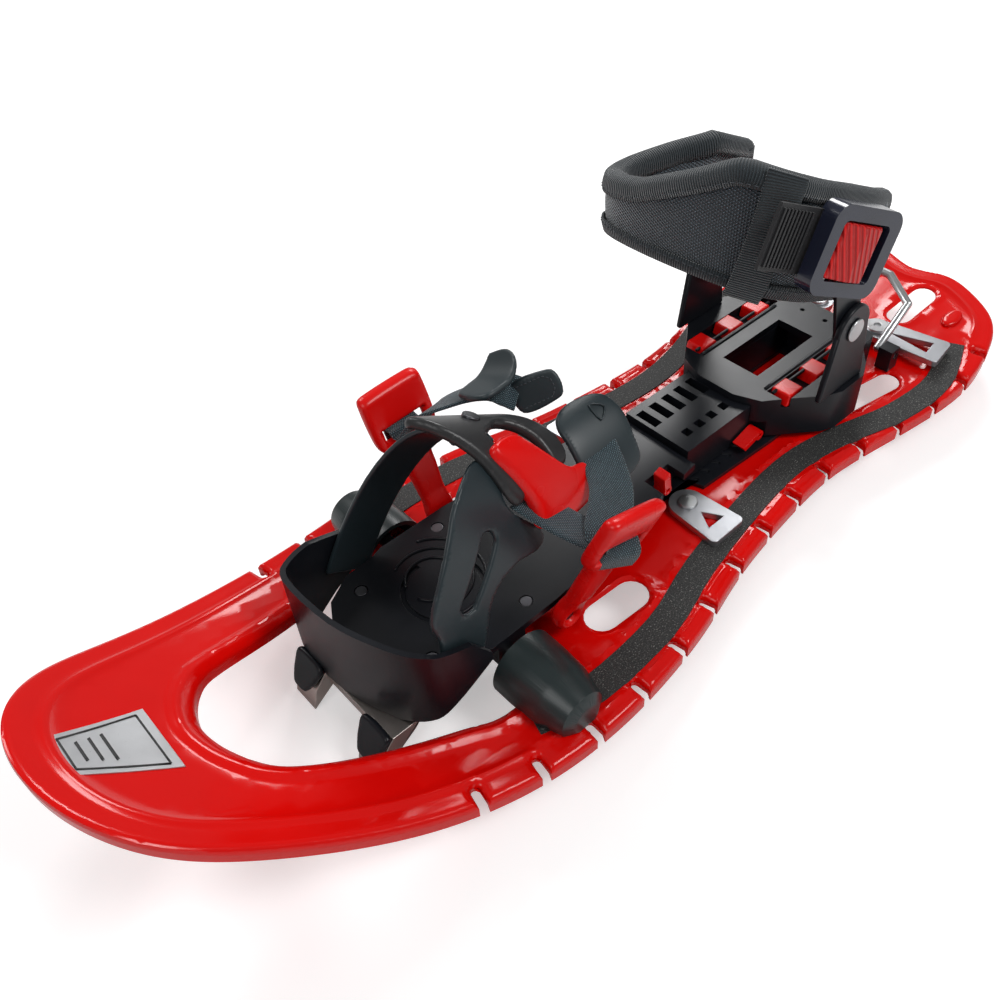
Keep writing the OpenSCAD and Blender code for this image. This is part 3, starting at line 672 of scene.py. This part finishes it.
def build_deck():
    """One moulded shell: top skin from a dense triangulation, skirts pulled down from its edges."""
    points, edges = joined([outline, opening] + holes)
    flat, faces = triangulated(points + deck_points(), edges, outline, [opening] + holes)
    z = DECK_Z + rocker(flat[:, 0]) + deck_height(flat)
    work = bmesh.new()
    verts = [work.verts.new((x * MM, y * MM, h * MM)) for (x, y), h in zip(flat, z)]
    for f in faces:
        if len(set(f)) == 3:
            work.faces.new([verts[i] for i in f])
    bmesh.ops.delete(work, geom=[v for v in work.verts if not v.link_faces], context="VERTS")
    bmesh.ops.recalc_face_normals(work, faces=work.faces)
    if sum(f.normal.z * f.calc_area() for f in work.faces) < 0:
        bmesh.ops.reverse_faces(work, faces=work.faces)
    boundary = [e for e in work.edges if e.is_boundary]
    middles = np.array([tuple((e.verts[0].co + e.verts[1].co) / 2 / MM) for e in boundary])[:, :2]
    outer = [e for e, d in zip(boundary, distance(middles, outline)) if d < 0.3]
    inner = [e for e, d in zip(boundary, distance(middles, opening)) if d < 0.3]
    pull_skirt(work, outer, RIM_DROPS, True)
    pull_skirt(work, inner, LIP_DROPS, False)
    mesh = bpy.data.meshes.new("deck_shape")
    work.to_mesh(mesh)
    work.free()
    smooth_faces(mesh)
    mesh.materials.append(M["deck_red"])
    deck = put_in_scene("deck_shape", mesh)
    modifier(deck, "SOLIDIFY", thickness=SKIN * MM, offset=-1, use_even_offset=False)
    apply_modifiers(deck)
    smooth_faces(deck.data)
    deck.data.set_sharp_from_angle(angle=math.radians(38))
    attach(deck, "deck")
    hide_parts("deck_shell")


build_deck()

# ---------------------------------------------------------------- hard parts from the CAD shapes
# material, width of the rounded edges, CAD nodes
PLAIN = [
    ("grip_black", 0.25, "flex_stripe_left flex_stripe_right"),
    ("badge_alu", 0.25, "nose_badge"), ("black_plastic", 0.4, "deck_pad"),
    ("steel", 0.3, "pivot_axle"), ("slate_rubber", 3.0, "pivot_cover_left pivot_cover_right"),
    ("cast_alu", 0.9, "front_bracket_left front_bracket_right rear_bracket_left rear_bracket_right"),
    ("steel", 0.5, "bracket_rivets"), ("steel", 0.4, "deck_spikes"),
    ("black_plastic", 1.2, "bail_clips"), ("black_plastic", 1.4, "toe_plate"),
    ("black_plastic", 0.9, "toe_cup"), ("claw_steel", 0.5, "toe_claw"),
    ("dark_steel", 0.4, "toe_screws"), ("black_plastic", 0.9, "rail"),
    ("slate_plastic", 0.9, "strap_arm_right"), ("dark_steel", 0.5, "arm_bolt"),
    ("steel", 0.3, "lever_pin"), ("dark_steel", 0.6, "loop_rivets"),
    ("red_plastic", 1.0, "rail_latch"), ("black_plastic", 1.6, "heel_plate"),
    ("red_plastic", 1.0, "heel_grips"), ("black_plastic", 1.2, "upright_left upright_right"),
    ("red_plastic", 0.8, "heel_latch"), ("steel", 0.6, "cuff_pins"),
    ("black_plastic", 0.8, "cuff_arm_left cuff_arm_right"), ("indigo_plastic", 2.6, "ratchet_frame"),
    ("steel", 0.3, "ratchet_pin"), ("red_ribbed", 1.8, "ratchet_button"),
]
for material, width, names in PLAIN:
    for node in names.split():
        hard(node, material, width)
bail = hard("heel_bail", "steel", 0)
modifier(bail, "DISPLACE", strength=0.5 * MM, mid_level=0)


# ---------------------------------------------------------------- soft parts
CUFF_LINE = [(-148, 34), (-130, 38.5), (-106, 39), (-78, 38), (-56, 27), (-45, 4), (-40, -26),
             (-43, -48), (-58, -56), (-84, -50), (-106, -40), (-132, -38.5)]
CUFF_T = 10.0
TAPE_DEPTH = 6.5
STITCH_OUT = 6.5
cuff_path = spline(CUFF_LINE, 8)
cuff_run = run_along(cuff_path)


def height_at(x, pairs):
    xs, ys = zip(*sorted(pairs))
    return float(np.interp(x, xs, ys))


def cuff_top(x, y):
    """Height of the cuff's upper edge above a point of its plan."""
    side = height_at(x, [(-160, 148), (-105, 174), (-52, 198), (-30, 198)])
    front = height_at(y, [(-70, 166), (-30, 176), (0, 190), (20, 200), (60, 200)])
    return min(side, front)


def cuff_low(x):
    """Height of the cuff's lower edge."""
    return height_at(x, [(-160, 97), (-126, 108), (-40, 145), (-30, 149)])


def cuff_uv(points):
    """Distance along the cuff and height, in millimetres, for every point."""
    best = np.full(len(points), 1e9)
    along = np.zeros(len(points))
    for i in range(len(cuff_path) - 1):
        p, q = cuff_path[i], cuff_path[i + 1] - cuff_path[i]
        t = np.clip(((points[:, :2] - p) @ q) / (q @ q), 0, 1)
        d = np.linalg.norm(points[:, :2] - (p + t[:, None] * q), axis=1)
        closer = d < best
        best[closer] = d[closer]
        along[closer] = cuff_run[i] + t[closer] * (cuff_run[i + 1] - cuff_run[i])
    return np.stack([along, points[:, 2]], 1)


def pillow(obj, voxel, pressure, limit, frames=20):
    """Fills a closed shell as padding: even remesh, then a short pressure simulation.

    No point moves further than limit, in millimetres.
    """
    modifier(obj, "REMESH", mode="VOXEL", voxel_size=voxel * MM)
    apply_modifiers(obj)
    start = np.array([v.co for v in obj.data.vertices])
    cloth = modifier(obj, "CLOTH")
    cloth.settings.use_pressure = True
    cloth.settings.uniform_pressure_force = pressure
    cloth.settings.quality = 5
    cloth.settings.mass = 0.3
    cloth.settings.tension_stiffness = 12
    cloth.settings.compression_stiffness = 12
    cloth.settings.bending_stiffness = 0.4
    cloth.settings.effector_weights.gravity = 0
    cloth.point_cache.frame_start = 1
    cloth.point_cache.frame_end = frames
    scene = bpy.context.scene
    for f in range(1, frames + 1):
        scene.frame_set(f)
    apply_modifiers(obj)
    scene.frame_set(1)
    move = np.array([v.co for v in obj.data.vertices]) - start
    length = np.linalg.norm(move, axis=1, keepdims=True)
    end = start + move * np.minimum(1, limit * MM / np.maximum(length, 1e-9))
    obj.data.vertices.foreach_set("co", end.ravel())
    obj.data.update()


def build_cuff():
    """The padded cuff with a woven cover."""
    pad = put_in_scene("cuff_padding", cad_mesh("cuff_pad", join_flat=False))
    pillow(pad, voxel=4.5, pressure=3.0, limit=3.0)
    modifier(pad, "SMOOTH", factor=0.5, iterations=4)
    modifier(pad, "SUBSURF", levels=1, render_levels=1)
    apply_modifiers(pad)
    uv = cuff_uv(np.array([v.co for v in pad.data.vertices]) / MM)
    layer = pad.data.uv_layers.new(name="UVMap")
    for loop in pad.data.loops:
        layer.data[loop.index].uv = uv[loop.vertex_index]
    smooth_faces(pad.data)
    pad.data.materials.clear()
    pad.data.materials.append(M["cuff_mesh"])
    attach(pad, "cuff")
    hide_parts("cuff_pad")


def tape_section():
    """A binding folded over an edge: an upside-down U."""
    out = CUFF_T / 2 + 1.2
    inn = out - 1.1
    outer = [(out, -TAPE_DEPTH), (out, -3), (out * 0.86, 0.4), (out * 0.5, 2.0), (0, 2.6),
             (-out * 0.5, 2.0), (-out * 0.86, 0.4), (-out, -3), (-out, -TAPE_DEPTH)]
    inner = [(-inn, -TAPE_DEPTH), (-inn, -3), (-inn * 0.5, 0.9), (0, 1.4), (inn * 0.5, 0.9),
             (inn, -3), (inn, -TAPE_DEPTH)]
    return outer + inner


def build_tapes():
    """Tape bindings over the upper, lower and two end edges of the cuff."""
    top = [(x, y, cuff_top(x, y)) for x, y in cuff_path]
    low = [(x, y, cuff_low(x)) for x, y in cuff_path]
    sweep("binding_top", top, tape_section(), "tape", "cuff")
    sweep("binding_low", low, [(a, -b) for a, b in tape_section()], "tape", "cuff")
    for name, i, neighbour in (("binding_end_left", 0, 1), ("binding_end_right", -1, -2)):
        x, y = cuff_path[i]
        away = unit2(cuff_path[i] - cuff_path[neighbour])
        zs = np.linspace(cuff_low(x), cuff_top(x, y), 14)
        sweep(name, [(x, y, z) for z in zs], tape_section(), "tape", "cuff",
              up=(away[0], away[1], 0.0))


def cuff_point(along, z, out):
    """A point on the cuff's skin from distance along it, height and distance out of its middle."""
    at = point_at(cuff_path, cuff_run, along)
    near = point_at(cuff_path, cuff_run, along + 1)
    t = unit2(near - at) if along + 1 < cuff_run[-1] else unit2(at - cuff_path[-2])
    return np.array([at[0] - t[1] * out, at[1] + t[0] * out, z])


def stitches(name, path, body, pitch=3.4, length=2.2, r=0.32):
    """A row of single stitches, each a small rounded bar, along a 3-D path."""
    path = np.array(path, float)
    run = run_along(path)
    verts, faces = [], []
    sides = 6
    for start in np.arange(0, run[-1] - length, pitch):
        a, b = point_at(path, run, start), point_at(path, run, start + length)
        ahead = unit2(b - a)
        side = unit2(np.cross(ahead, (0.3, 0.2, 1.0)))
        top = np.cross(side, ahead)
        base = len(verts)
        for t, scale in ((0, 0.35), (0.2, 1), (0.8, 1), (1, 0.35)):
            for k in range(sides):
                q = 2 * math.pi * k / sides
                around = side * math.cos(q) + top * math.sin(q)
                verts.append(a + (b - a) * t + r * scale * around)
        for level in range(3):
            for k in range(sides):
                m = (k + 1) % sides
                faces.append((base + level * sides + k, base + level * sides + m,
                              base + (level + 1) * sides + m, base + (level + 1) * sides + k))
        faces.append(tuple(base + k for k in range(sides)))
        faces.append(tuple(base + 3 * sides + k for k in range(sides)))
    make(name, verts, faces, "thread", body)


def cuff_stitches():
    """A row of stitches along the inner side of each long tape."""
    inset = TAPE_DEPTH - 1.6
    along = np.linspace(3, 262, 90)
    plan = [cuff_point(q, 0, 0)[:2] for q in along]
    top = [cuff_point(q, cuff_top(x, y) - inset, STITCH_OUT) for q, (x, y) in zip(along, plan)]
    low = [cuff_point(q, cuff_low(x) + inset, STITCH_OUT) for q, (x, y) in zip(along, plan)]
    stitches("stitch_top", top, "cuff", r=0.26)
    stitches("stitch_low", low, "cuff")


def cuff_band():
    """The slanting band of ribbed webbing sewn over the near side of the cuff."""
    places = [(89, 198, 6.2), (90, 193, 6.9), (92, 178, 7.0), (95, 160, 7.0), (98, 144, 6.9),
              (100, 136, 6.2)]
    path = spline([cuff_point(*q) for q in places], 4)
    away = unit2(cuff_point(96, 170, 5)[:2] - cuff_point(96, 170, 0)[:2])
    sweep("cuff_band", path, flat_section(18, 1.4, 12), "tape", "cuff", up=(away[0], away[1], 0))


build_cuff()
build_tapes()
cuff_band()
cuff_stitches()


# ---------------------------------------------------------------- straps, levers and moulded leaves
ARCH_X, ARCH_Z, ARCH_LEAN = 150, 57, 30
ARCH_HALF_WIDTH, ARCH_HEIGHT = 38.5, 84
STRAP_Z, STRAP_HALF_WIDTH, STRAP_HEIGHT = 60, 34, 54


def arch_xyz(u, a, grow):
    """The toe arch of the CAD model: u along its axis, a degrees round it, grow outwards."""
    t, q = math.radians(ARCH_LEAN), math.radians(a)
    y, z = (ARCH_HALF_WIDTH + grow) * math.cos(q), (ARCH_HEIGHT + grow) * math.sin(q)
    return np.array([ARCH_X + u * math.cos(t) - z * math.sin(t), y,
                     ARCH_Z + u * math.sin(t) + z * math.cos(t)])


def strap_xyz(x, a, grow):
    """The upright arch of the instep straps: a degrees round it, grow outwards."""
    q = math.radians(a)
    return np.array([x, (STRAP_HALF_WIDTH + grow) * math.cos(q),
                     STRAP_Z + (STRAP_HEIGHT + grow) * math.sin(q)])


def pebble(name, material, body, outline, place, low, high, roll=1.6, step=2.0, openings=(),
           crown=0.0):
    """A moulded leaf with rounded edges. place(u, v, height) puts its flat shape in space."""
    loops = [resample(spline(outline, 6, True), step)]
    loops += [resample(spline(hole, 4, True), min(step, 1.5)) for hole in openings]
    points, edges = joined(loops)
    extra = []
    for i, loop in enumerate(loops):
        extra += rings(loop, [roll * share for share in (0.12, 0.35, 0.7, 1.05)], i == 0)
    low_corner, high_corner = loops[0].min(0), loops[0].max(0)
    extra.append(np.array([(x, y) for x in np.arange(low_corner[0], high_corner[0], step)
                           for y in np.arange(low_corner[1], high_corner[1], step)]))
    extra = np.vstack(extra)
    cell = roll * 0.22
    extra = extra[np.sort(np.unique(np.round(extra / cell), axis=0, return_index=True)[1])]
    ok = inside(extra, loops[0])
    for hole in loops[1:]:
        ok &= ~inside(extra, hole)
    ok &= np.min([distance(extra, loop) for loop in loops], axis=0) > cell / 2
    points += [tuple(q) for q in extra[ok]]
    flat, faces = triangulated(points, edges, loops[0], loops[1:])
    d = np.min([distance(flat, loop) for loop in loops], axis=0)
    rise = np.sqrt(np.maximum(0, 1 - (1 - np.clip(d / roll, 0, 1)) ** 2))
    dome = crown * (1 - np.exp(-d / (roll * 2.5)))
    middle, half = (low + high) / 2, (high - low) / 2
    verts = [place(u, v, middle + half * h + c) for (u, v), h, c in zip(flat, rise, dome)]
    uvs = [tuple(q) for q in flat]
    under = {}
    for i, h in enumerate(rise):
        if d[i] < 1e-4:
            under[i] = i
        else:
            under[i] = len(verts)
            verts.append(place(flat[i, 0], flat[i, 1], middle - half * h))
            uvs.append(tuple(flat[i]))
    faces += [tuple(under[i] for i in f[::-1]) for f in faces]
    return make(name, verts, faces, material, body, uvs)


def toe_lever():
    """Cam lever lying on the toe arch, its T-shaped end towards the near side."""
    shape = [(-11, 68), (-15, 74), (-27, 77), (-34, 73), (-43, 67), (-55, 61), (-66, 62),
             (-74, 60), (-76, 54), (-68, 47), (-54, 42), (-40, 40), (-34, 42), (-31, 48), (-24, 55)]
    mm_per_degree = 1.1
    lever = pebble("toe_lever_shape", "red_plastic", "toe_lever",
                   [(u, a * mm_per_degree) for u, a in shape],
                   lambda u, v, h: arch_xyz(u, v / mm_per_degree, h), 4.5, 12.0, 2.4, crown=0.8)
    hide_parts("toe_lever")


LOOP_X, LOOP_Y, LOOP_Z, LOOP_LEAN = 84, 42, 38, 17
NEAR_SWING, FAR_SWING = -16, 4      # degrees, at rest
LOOP_HALF = [(6, -5), (8, 2), (7, 12), (8, 26), (9, 38), (16, 47), (17.5, 54), (17.5, 70),
             (16, 75), (8, 76)]
LOOP_SHAPE = [(-6, -5), (0, -8)] + LOOP_HALF + [(-x, v) for x, v in LOOP_HALF[:0:-1]]
LOOP_WINDOW = [(-11.5, 50), (-10.5, 49), (10.5, 49), (11.5, 50), (11.5, 56), (10.5, 57),
               (-10.5, 57), (-11.5, 56)]


def loop_xyz(x, v, h, side, swing):
    """A point of a strap loop's leaned plate: x across it, v up it, h out from its inner face."""
    lean, turn = math.radians(LOOP_LEAN), math.radians(swing)
    along = v * math.cos(lean) + min(v, 0) * (1 - math.cos(lean))
    out = h + max(v, 0) * math.sin(lean) * min(max(v, 0) / 14, 1)
    return np.array([LOOP_X + x * math.cos(turn) + along * math.sin(turn), side * (LOOP_Y + out),
                     LOOP_Z - x * math.sin(turn) + along * math.cos(turn)])


def strap_loop(node, side, swing):
    """Red plate with a window for its strap and a hole for its rivet."""
    eye = [(2.6 * math.cos(q), 2.6 * math.sin(q))
           for q in np.linspace(0, 2 * math.pi, 8, endpoint=False)]
    loop = pebble(node + "_shape", "red_plastic", node, LOOP_SHAPE,
                  lambda x, v, h: loop_xyz(x, v, h, side, swing), 0.2, 7.4, 2.6,
                  openings=[LOOP_WINDOW, eye], crown=1.6)
    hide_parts(node)


PAD_DROP = (0, 0, 10)


def instep_pad():
    """Soft rubber tongue under the near strap, with a small raised triangle."""
    shape = [(21, 34), (19, 50), (18, 68), (21, 82), (30, 89), (43, 89), (51, 80), (53, 62),
             (53, 44), (47, 34), (34, 30)]
    pad = pebble("instep_pad_shape", "pad_rubber", "binding", shape,
                 lambda u, v, h: strap_xyz(u, v, 1 + h) - PAD_DROP, 0, 3.4, 1.7, 2.4, crown=0.8)
    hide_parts("instep_pad")
    mark = [strap_xyz(x, a, 5.9) - PAD_DROP for x, a in ((26, 72), (32, 78), (32, 66))]
    sweep("pad_mark", spline(mark, 3, True), round_line(0.45), "pad_rubber", "binding", closed=True)


def in_frame(centre, across, along):
    """Places a flat shape (u, v, height) in a tilted plane."""
    across, along = unit2(np.array(across, float)), unit2(np.array(along, float))
    out = np.cross(across, along)
    return lambda u, v, h: np.array(centre) + across * u + along * v + out * h


def saddle():
    """Rubber keeper on the far strap, its rear edge curled up, and the end tab of the strap."""
    shape = [(-14, -8), (-12, -11), (0, -12), (11, -10), (14, -2), (14, 8), (10, 12), (-4, 12),
             (-12, 9), (-15, 2)]
    curl = 0.04
    lying = in_frame((61, -25, 116.5), (1, 0.1, 0), (-0.1, 0.9, 0.42))
    keeper = pebble("saddle_shape", "pad_rubber", "binding", shape,
                    lambda u, v, h: lying(u, v, h + curl * max(0, -u) ** 2), 0.6, 3.6, 1.5)
    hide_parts("strap_saddle")
    tab = [(-10, -7), (8, -7), (12, -3), (12, 4), (8, 7.5), (-10, 7.5)]
    end = in_frame((45, -12, 113), (-0.66, 0.6, 0.45), (0, -0.6, 0.8))
    pebble("strap_end_tab", "pad_rubber", "binding", tab, end, 0, 2.8, 1.1)
    rows = [end(u, v, 2.9) for u, v in ((-8, -5), (6, -5), (9, -2), (9, 3), (6, 5.5), (-8, 5.5))]
    stitches("stitch_tab", rows, "binding", 2.2, 1.4, 0.25)


def webbing(name, path, width, sideways):
    """Webbing along a path, bending between the binding and a loop from start to end.

    sideways is the direction across the strap at every point.
    """
    path = spline(path, 5)
    up = np.cross(np.array(sideways, float), unit2(np.gradient(path, axis=0)))
    made = sweep(name, path, flat_section(width, 1.7), "webbing", "binding", up=lambda i: up[i])
    made.parent = None
    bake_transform(made)
    return made


def straps():
    """The near strap with its underlayer and the far strap, each through the window of its loop."""
    near = [(36, 4, 102), (38, 14, 100), (42, 26, 95), (52, 42, 91)]
    near += [loop_xyz(0, v, h, 1, NEAR_SWING) for v, h in ((55, -2), (55, 3), (49, 9), (42, 9.5))]
    made = webbing("webbing_left_shape", near, 20, (1, -0.35, 0.1))
    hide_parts("webbing_left")
    under = [(88, 22, 101), (84, 32, 96), (78, 44, 90), (73, 54, 86)]
    webbing("webbing_left_under", under, 19, (0.9, 0, 0.3))
    far = [(52, -17, 112), (56, -21, 114.5), (61, -26, 115), (69, -36, 110), (80, -48, 101)]
    far += [loop_xyz(0, v, h, -1, FAR_SWING) for v, h in ((53, -2), (53, 3), (53, 9), (44, 9.5))]
    made = webbing("webbing_right_shape", far, 17, (1, 0, -0.1))
    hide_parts("webbing_right")


def near_arm():
    """Rubber arm on the near side of the toe arch, drawn from the side as (along, height)."""
    shape = [(-22, -6), (-3, -6), (8, 14), (17, 28), (13, 60), (8, 72), (-3, 81), (-14, 80),
             (-21, 66), (-42, 56), (-42, 48), (-26, 42), (-17, 28)]
    reach = 86.5
    arm = pebble("strap_arm_left_shape", "slate_plastic", "binding", shape,
                 lambda u, v, h: arch_xyz(u, math.degrees(math.asin(min(1, v / reach))), h),
                 1.2, 4.2, 1.1, openings=[pill((-3, 30), (-9, 54), 4.6, 5)])
    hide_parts("strap_arm_left")


def hoop():
    """Forked plate over the toe, drawn from above as (along, across)."""
    shape = [(12, -12), (-2, -15), (-24, -15), (-42, -13), (-54, 2), (-60, 14), (-58, 20),
             (-50, 20), (-44, 9), (-37, 1), (-30, -1), (-22, 3), (-16, 9), (-28, 23), (-26, 29),
             (-18, 27), (-4, 14), (8, 1)]
    reach = 45
    plate = pebble("hoop_plate_shape", "grey_plastic", "binding", shape,
                   lambda u, v, h: arch_xyz(u, math.degrees(math.acos(v / reach)), h),
                   3.4, 8.6, 2.0, 1.8)
    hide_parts("hoop_plate")


def claw_guards():
    """Black guards that run down from the toe cup over the front claws."""
    shape = [(-8.5, 3), (8.5, 3), (8.5, -5), (5.5, -12), (3, -14), (-3, -14), (-5.5, -12),
             (-8.5, -5)]
    for side in (1, -1):
        face = in_frame((178, 25 * side, 22), (0, 1, 0), (-0.55, 0, 0.83))
        pebble("claw_guard", "black_plastic", "binding", shape, face, 0.3, 3.6, 1.4, 1.6)


def plate_relief():
    """Raised lines moulded on the toe plate and the heel plate."""
    for radius, first, last in ((13, 20, 340), (19, 60, 300), (25, 80, 250)):
        arc = [(118 + radius * math.cos(q), -8 + radius * math.sin(q), 45.1)
               for q in np.radians(np.linspace(first, last, 36))]
        sweep("toe_relief", arc, round_line(0.7), "black_plastic", "binding")
    for y in (-27, -22, 22, 27):
        line = [(x, y, 54.1) for x in np.linspace(-92, -160, 12)]
        sweep("heel_relief", line, flat_section(2.0, 1.6, 3), "black_plastic", "heel")


def badge_lines():
    """A printed border and three bars on the badge."""
    border = [(279, -8, 279, 8), (253.5, -14, 253.5, 14), (279, -8, 253.5, -14),
              (279, 8, 253.5, 14)]
    bars = [(275, -5, 275, 5), (271, -6, 271, 6), (267, -7, 267, 7)]
    for width, ends in [(0.9, e) for e in border] + [(1.6, e) for e in bars]:
        xs, ys = np.linspace(ends[0], ends[2], 9), np.linspace(ends[1], ends[3], 9)
        line = [(x, y, DECK_Z + float(rocker(x)) + 0.75) for x, y in zip(xs, ys)]
        sweep("badge_line", line, flat_section(width, 0.3, 3, 0.1), "ink_black", "deck")


def tail_lugs():
    """Low raised lugs moulded on the tail of the deck."""
    shape = [(9 * math.cos(q), 5 * math.sin(q))
             for q in np.linspace(0, 2 * math.pi, 10, endpoint=False)]
    x = -254
    for side in (1, -1):
        face = in_frame((x, 48 * side, DECK_Z + float(rocker(x)) - 1), (1, 0, -0.14), (0, 1, 0))
        pebble("tail_lug", "deck_red", "deck", shape, face, 0, 3.4, 2.6, 1.6)


near_arm()
hoop()
claw_guards()
tail_lugs()
plate_relief()
badge_lines()
toe_lever()
strap_loop("loop_left", 1, NEAR_SWING)
strap_loop("loop_right", -1, FAR_SWING)
instep_pad()
saddle()
straps()
hard("ladder_strap", "ladder", 0.4)


# ---------------------------------------------------------------- floor, light, camera
FLOOR_HALF = 40.0        # metres, like the lamps' places and sizes
# name, place, size, watts
LAMPS = [("key", (-0.5, 1.1, 1.6), 0.7, 17), ("fill", (1.3, 0.3, 1.3), 0.8, 6),
         ("rim", (-1.3, -1.0, 1.3), 0.6, 14), ("strip", (0.2, -1.3, 1.1), 0.5, 7)]


def studio():
    """White floor and backdrop that glow only towards the camera, and four soft lamps."""
    mesh = bpy.data.meshes.new("floor")
    r = FLOOR_HALF
    mesh.from_pydata([(-r, -r, 0), (r, -r, 0), (r, r, 0), (-r, r, 0)], [], [(0, 1, 2, 3)])
    floor = put_in_scene("floor", mesh)
    s = Shader("floor")
    seen = s.add("ShaderNodeLightPath").outputs["Is Camera Ray"]
    s.finish((0.8, 0.8, 0.8, 1), 0.6, Emission_Color=(1, 1, 1, 1),
             Emission_Strength=s.math("MULTIPLY", seen, 0.42))
    mesh.materials.append(M["floor"])
    world = bpy.data.worlds.new("studio")
    bpy.context.scene.world = world
    world.use_nodes = True
    tree = world.node_tree
    background = tree.nodes["Background"]
    background.inputs["Color"].default_value = (1, 1, 1, 1)
    path = tree.nodes.new("ShaderNodeLightPath")
    strength = tree.nodes.new("ShaderNodeMapRange")
    tree.links.new(path.outputs["Is Camera Ray"], strength.inputs["Value"])
    strength.inputs["To Min"].default_value = 0.24
    strength.inputs["To Max"].default_value = 1.0
    tree.links.new(strength.outputs["Result"], background.inputs["Strength"])
    aim = Vector((0, 0, 0.05))
    for name, place, size, watts in LAMPS:
        light = bpy.data.lights.new(name, "AREA")
        light.size = size
        light.energy = watts
        lamp = put_in_scene(name, light)
        lamp.location = place
        lamp.rotation_euler = (aim - Vector(place)).to_track_quat("-Z", "Y").to_euler()
    bpy.context.scene.view_settings.view_transform = "Standard"


def camera():
    """A camera with its place in millimetres and its axes in the frame of the part."""
    data = bpy.data.cameras.new("camera")
    data.sensor_width = 36
    data.lens = 34.69
    data.shift_x = -0.0483
    data.shift_y = -0.0253
    data.clip_end = 20
    cam = put_in_scene("camera", data)
    cam.location = Vector((271.9, 241.5, 391.2)) * MM
    right = Vector((-0.7229, 0.6906, -0.0215))
    up = Vector((-0.4937, -0.4945, 0.7154))
    back = Vector((0.4834, 0.5278, 0.6984))
    cam.rotation_euler = Matrix((right, up, back)).transposed().to_euler()
    bpy.context.scene.camera = cam


studio()
camera()
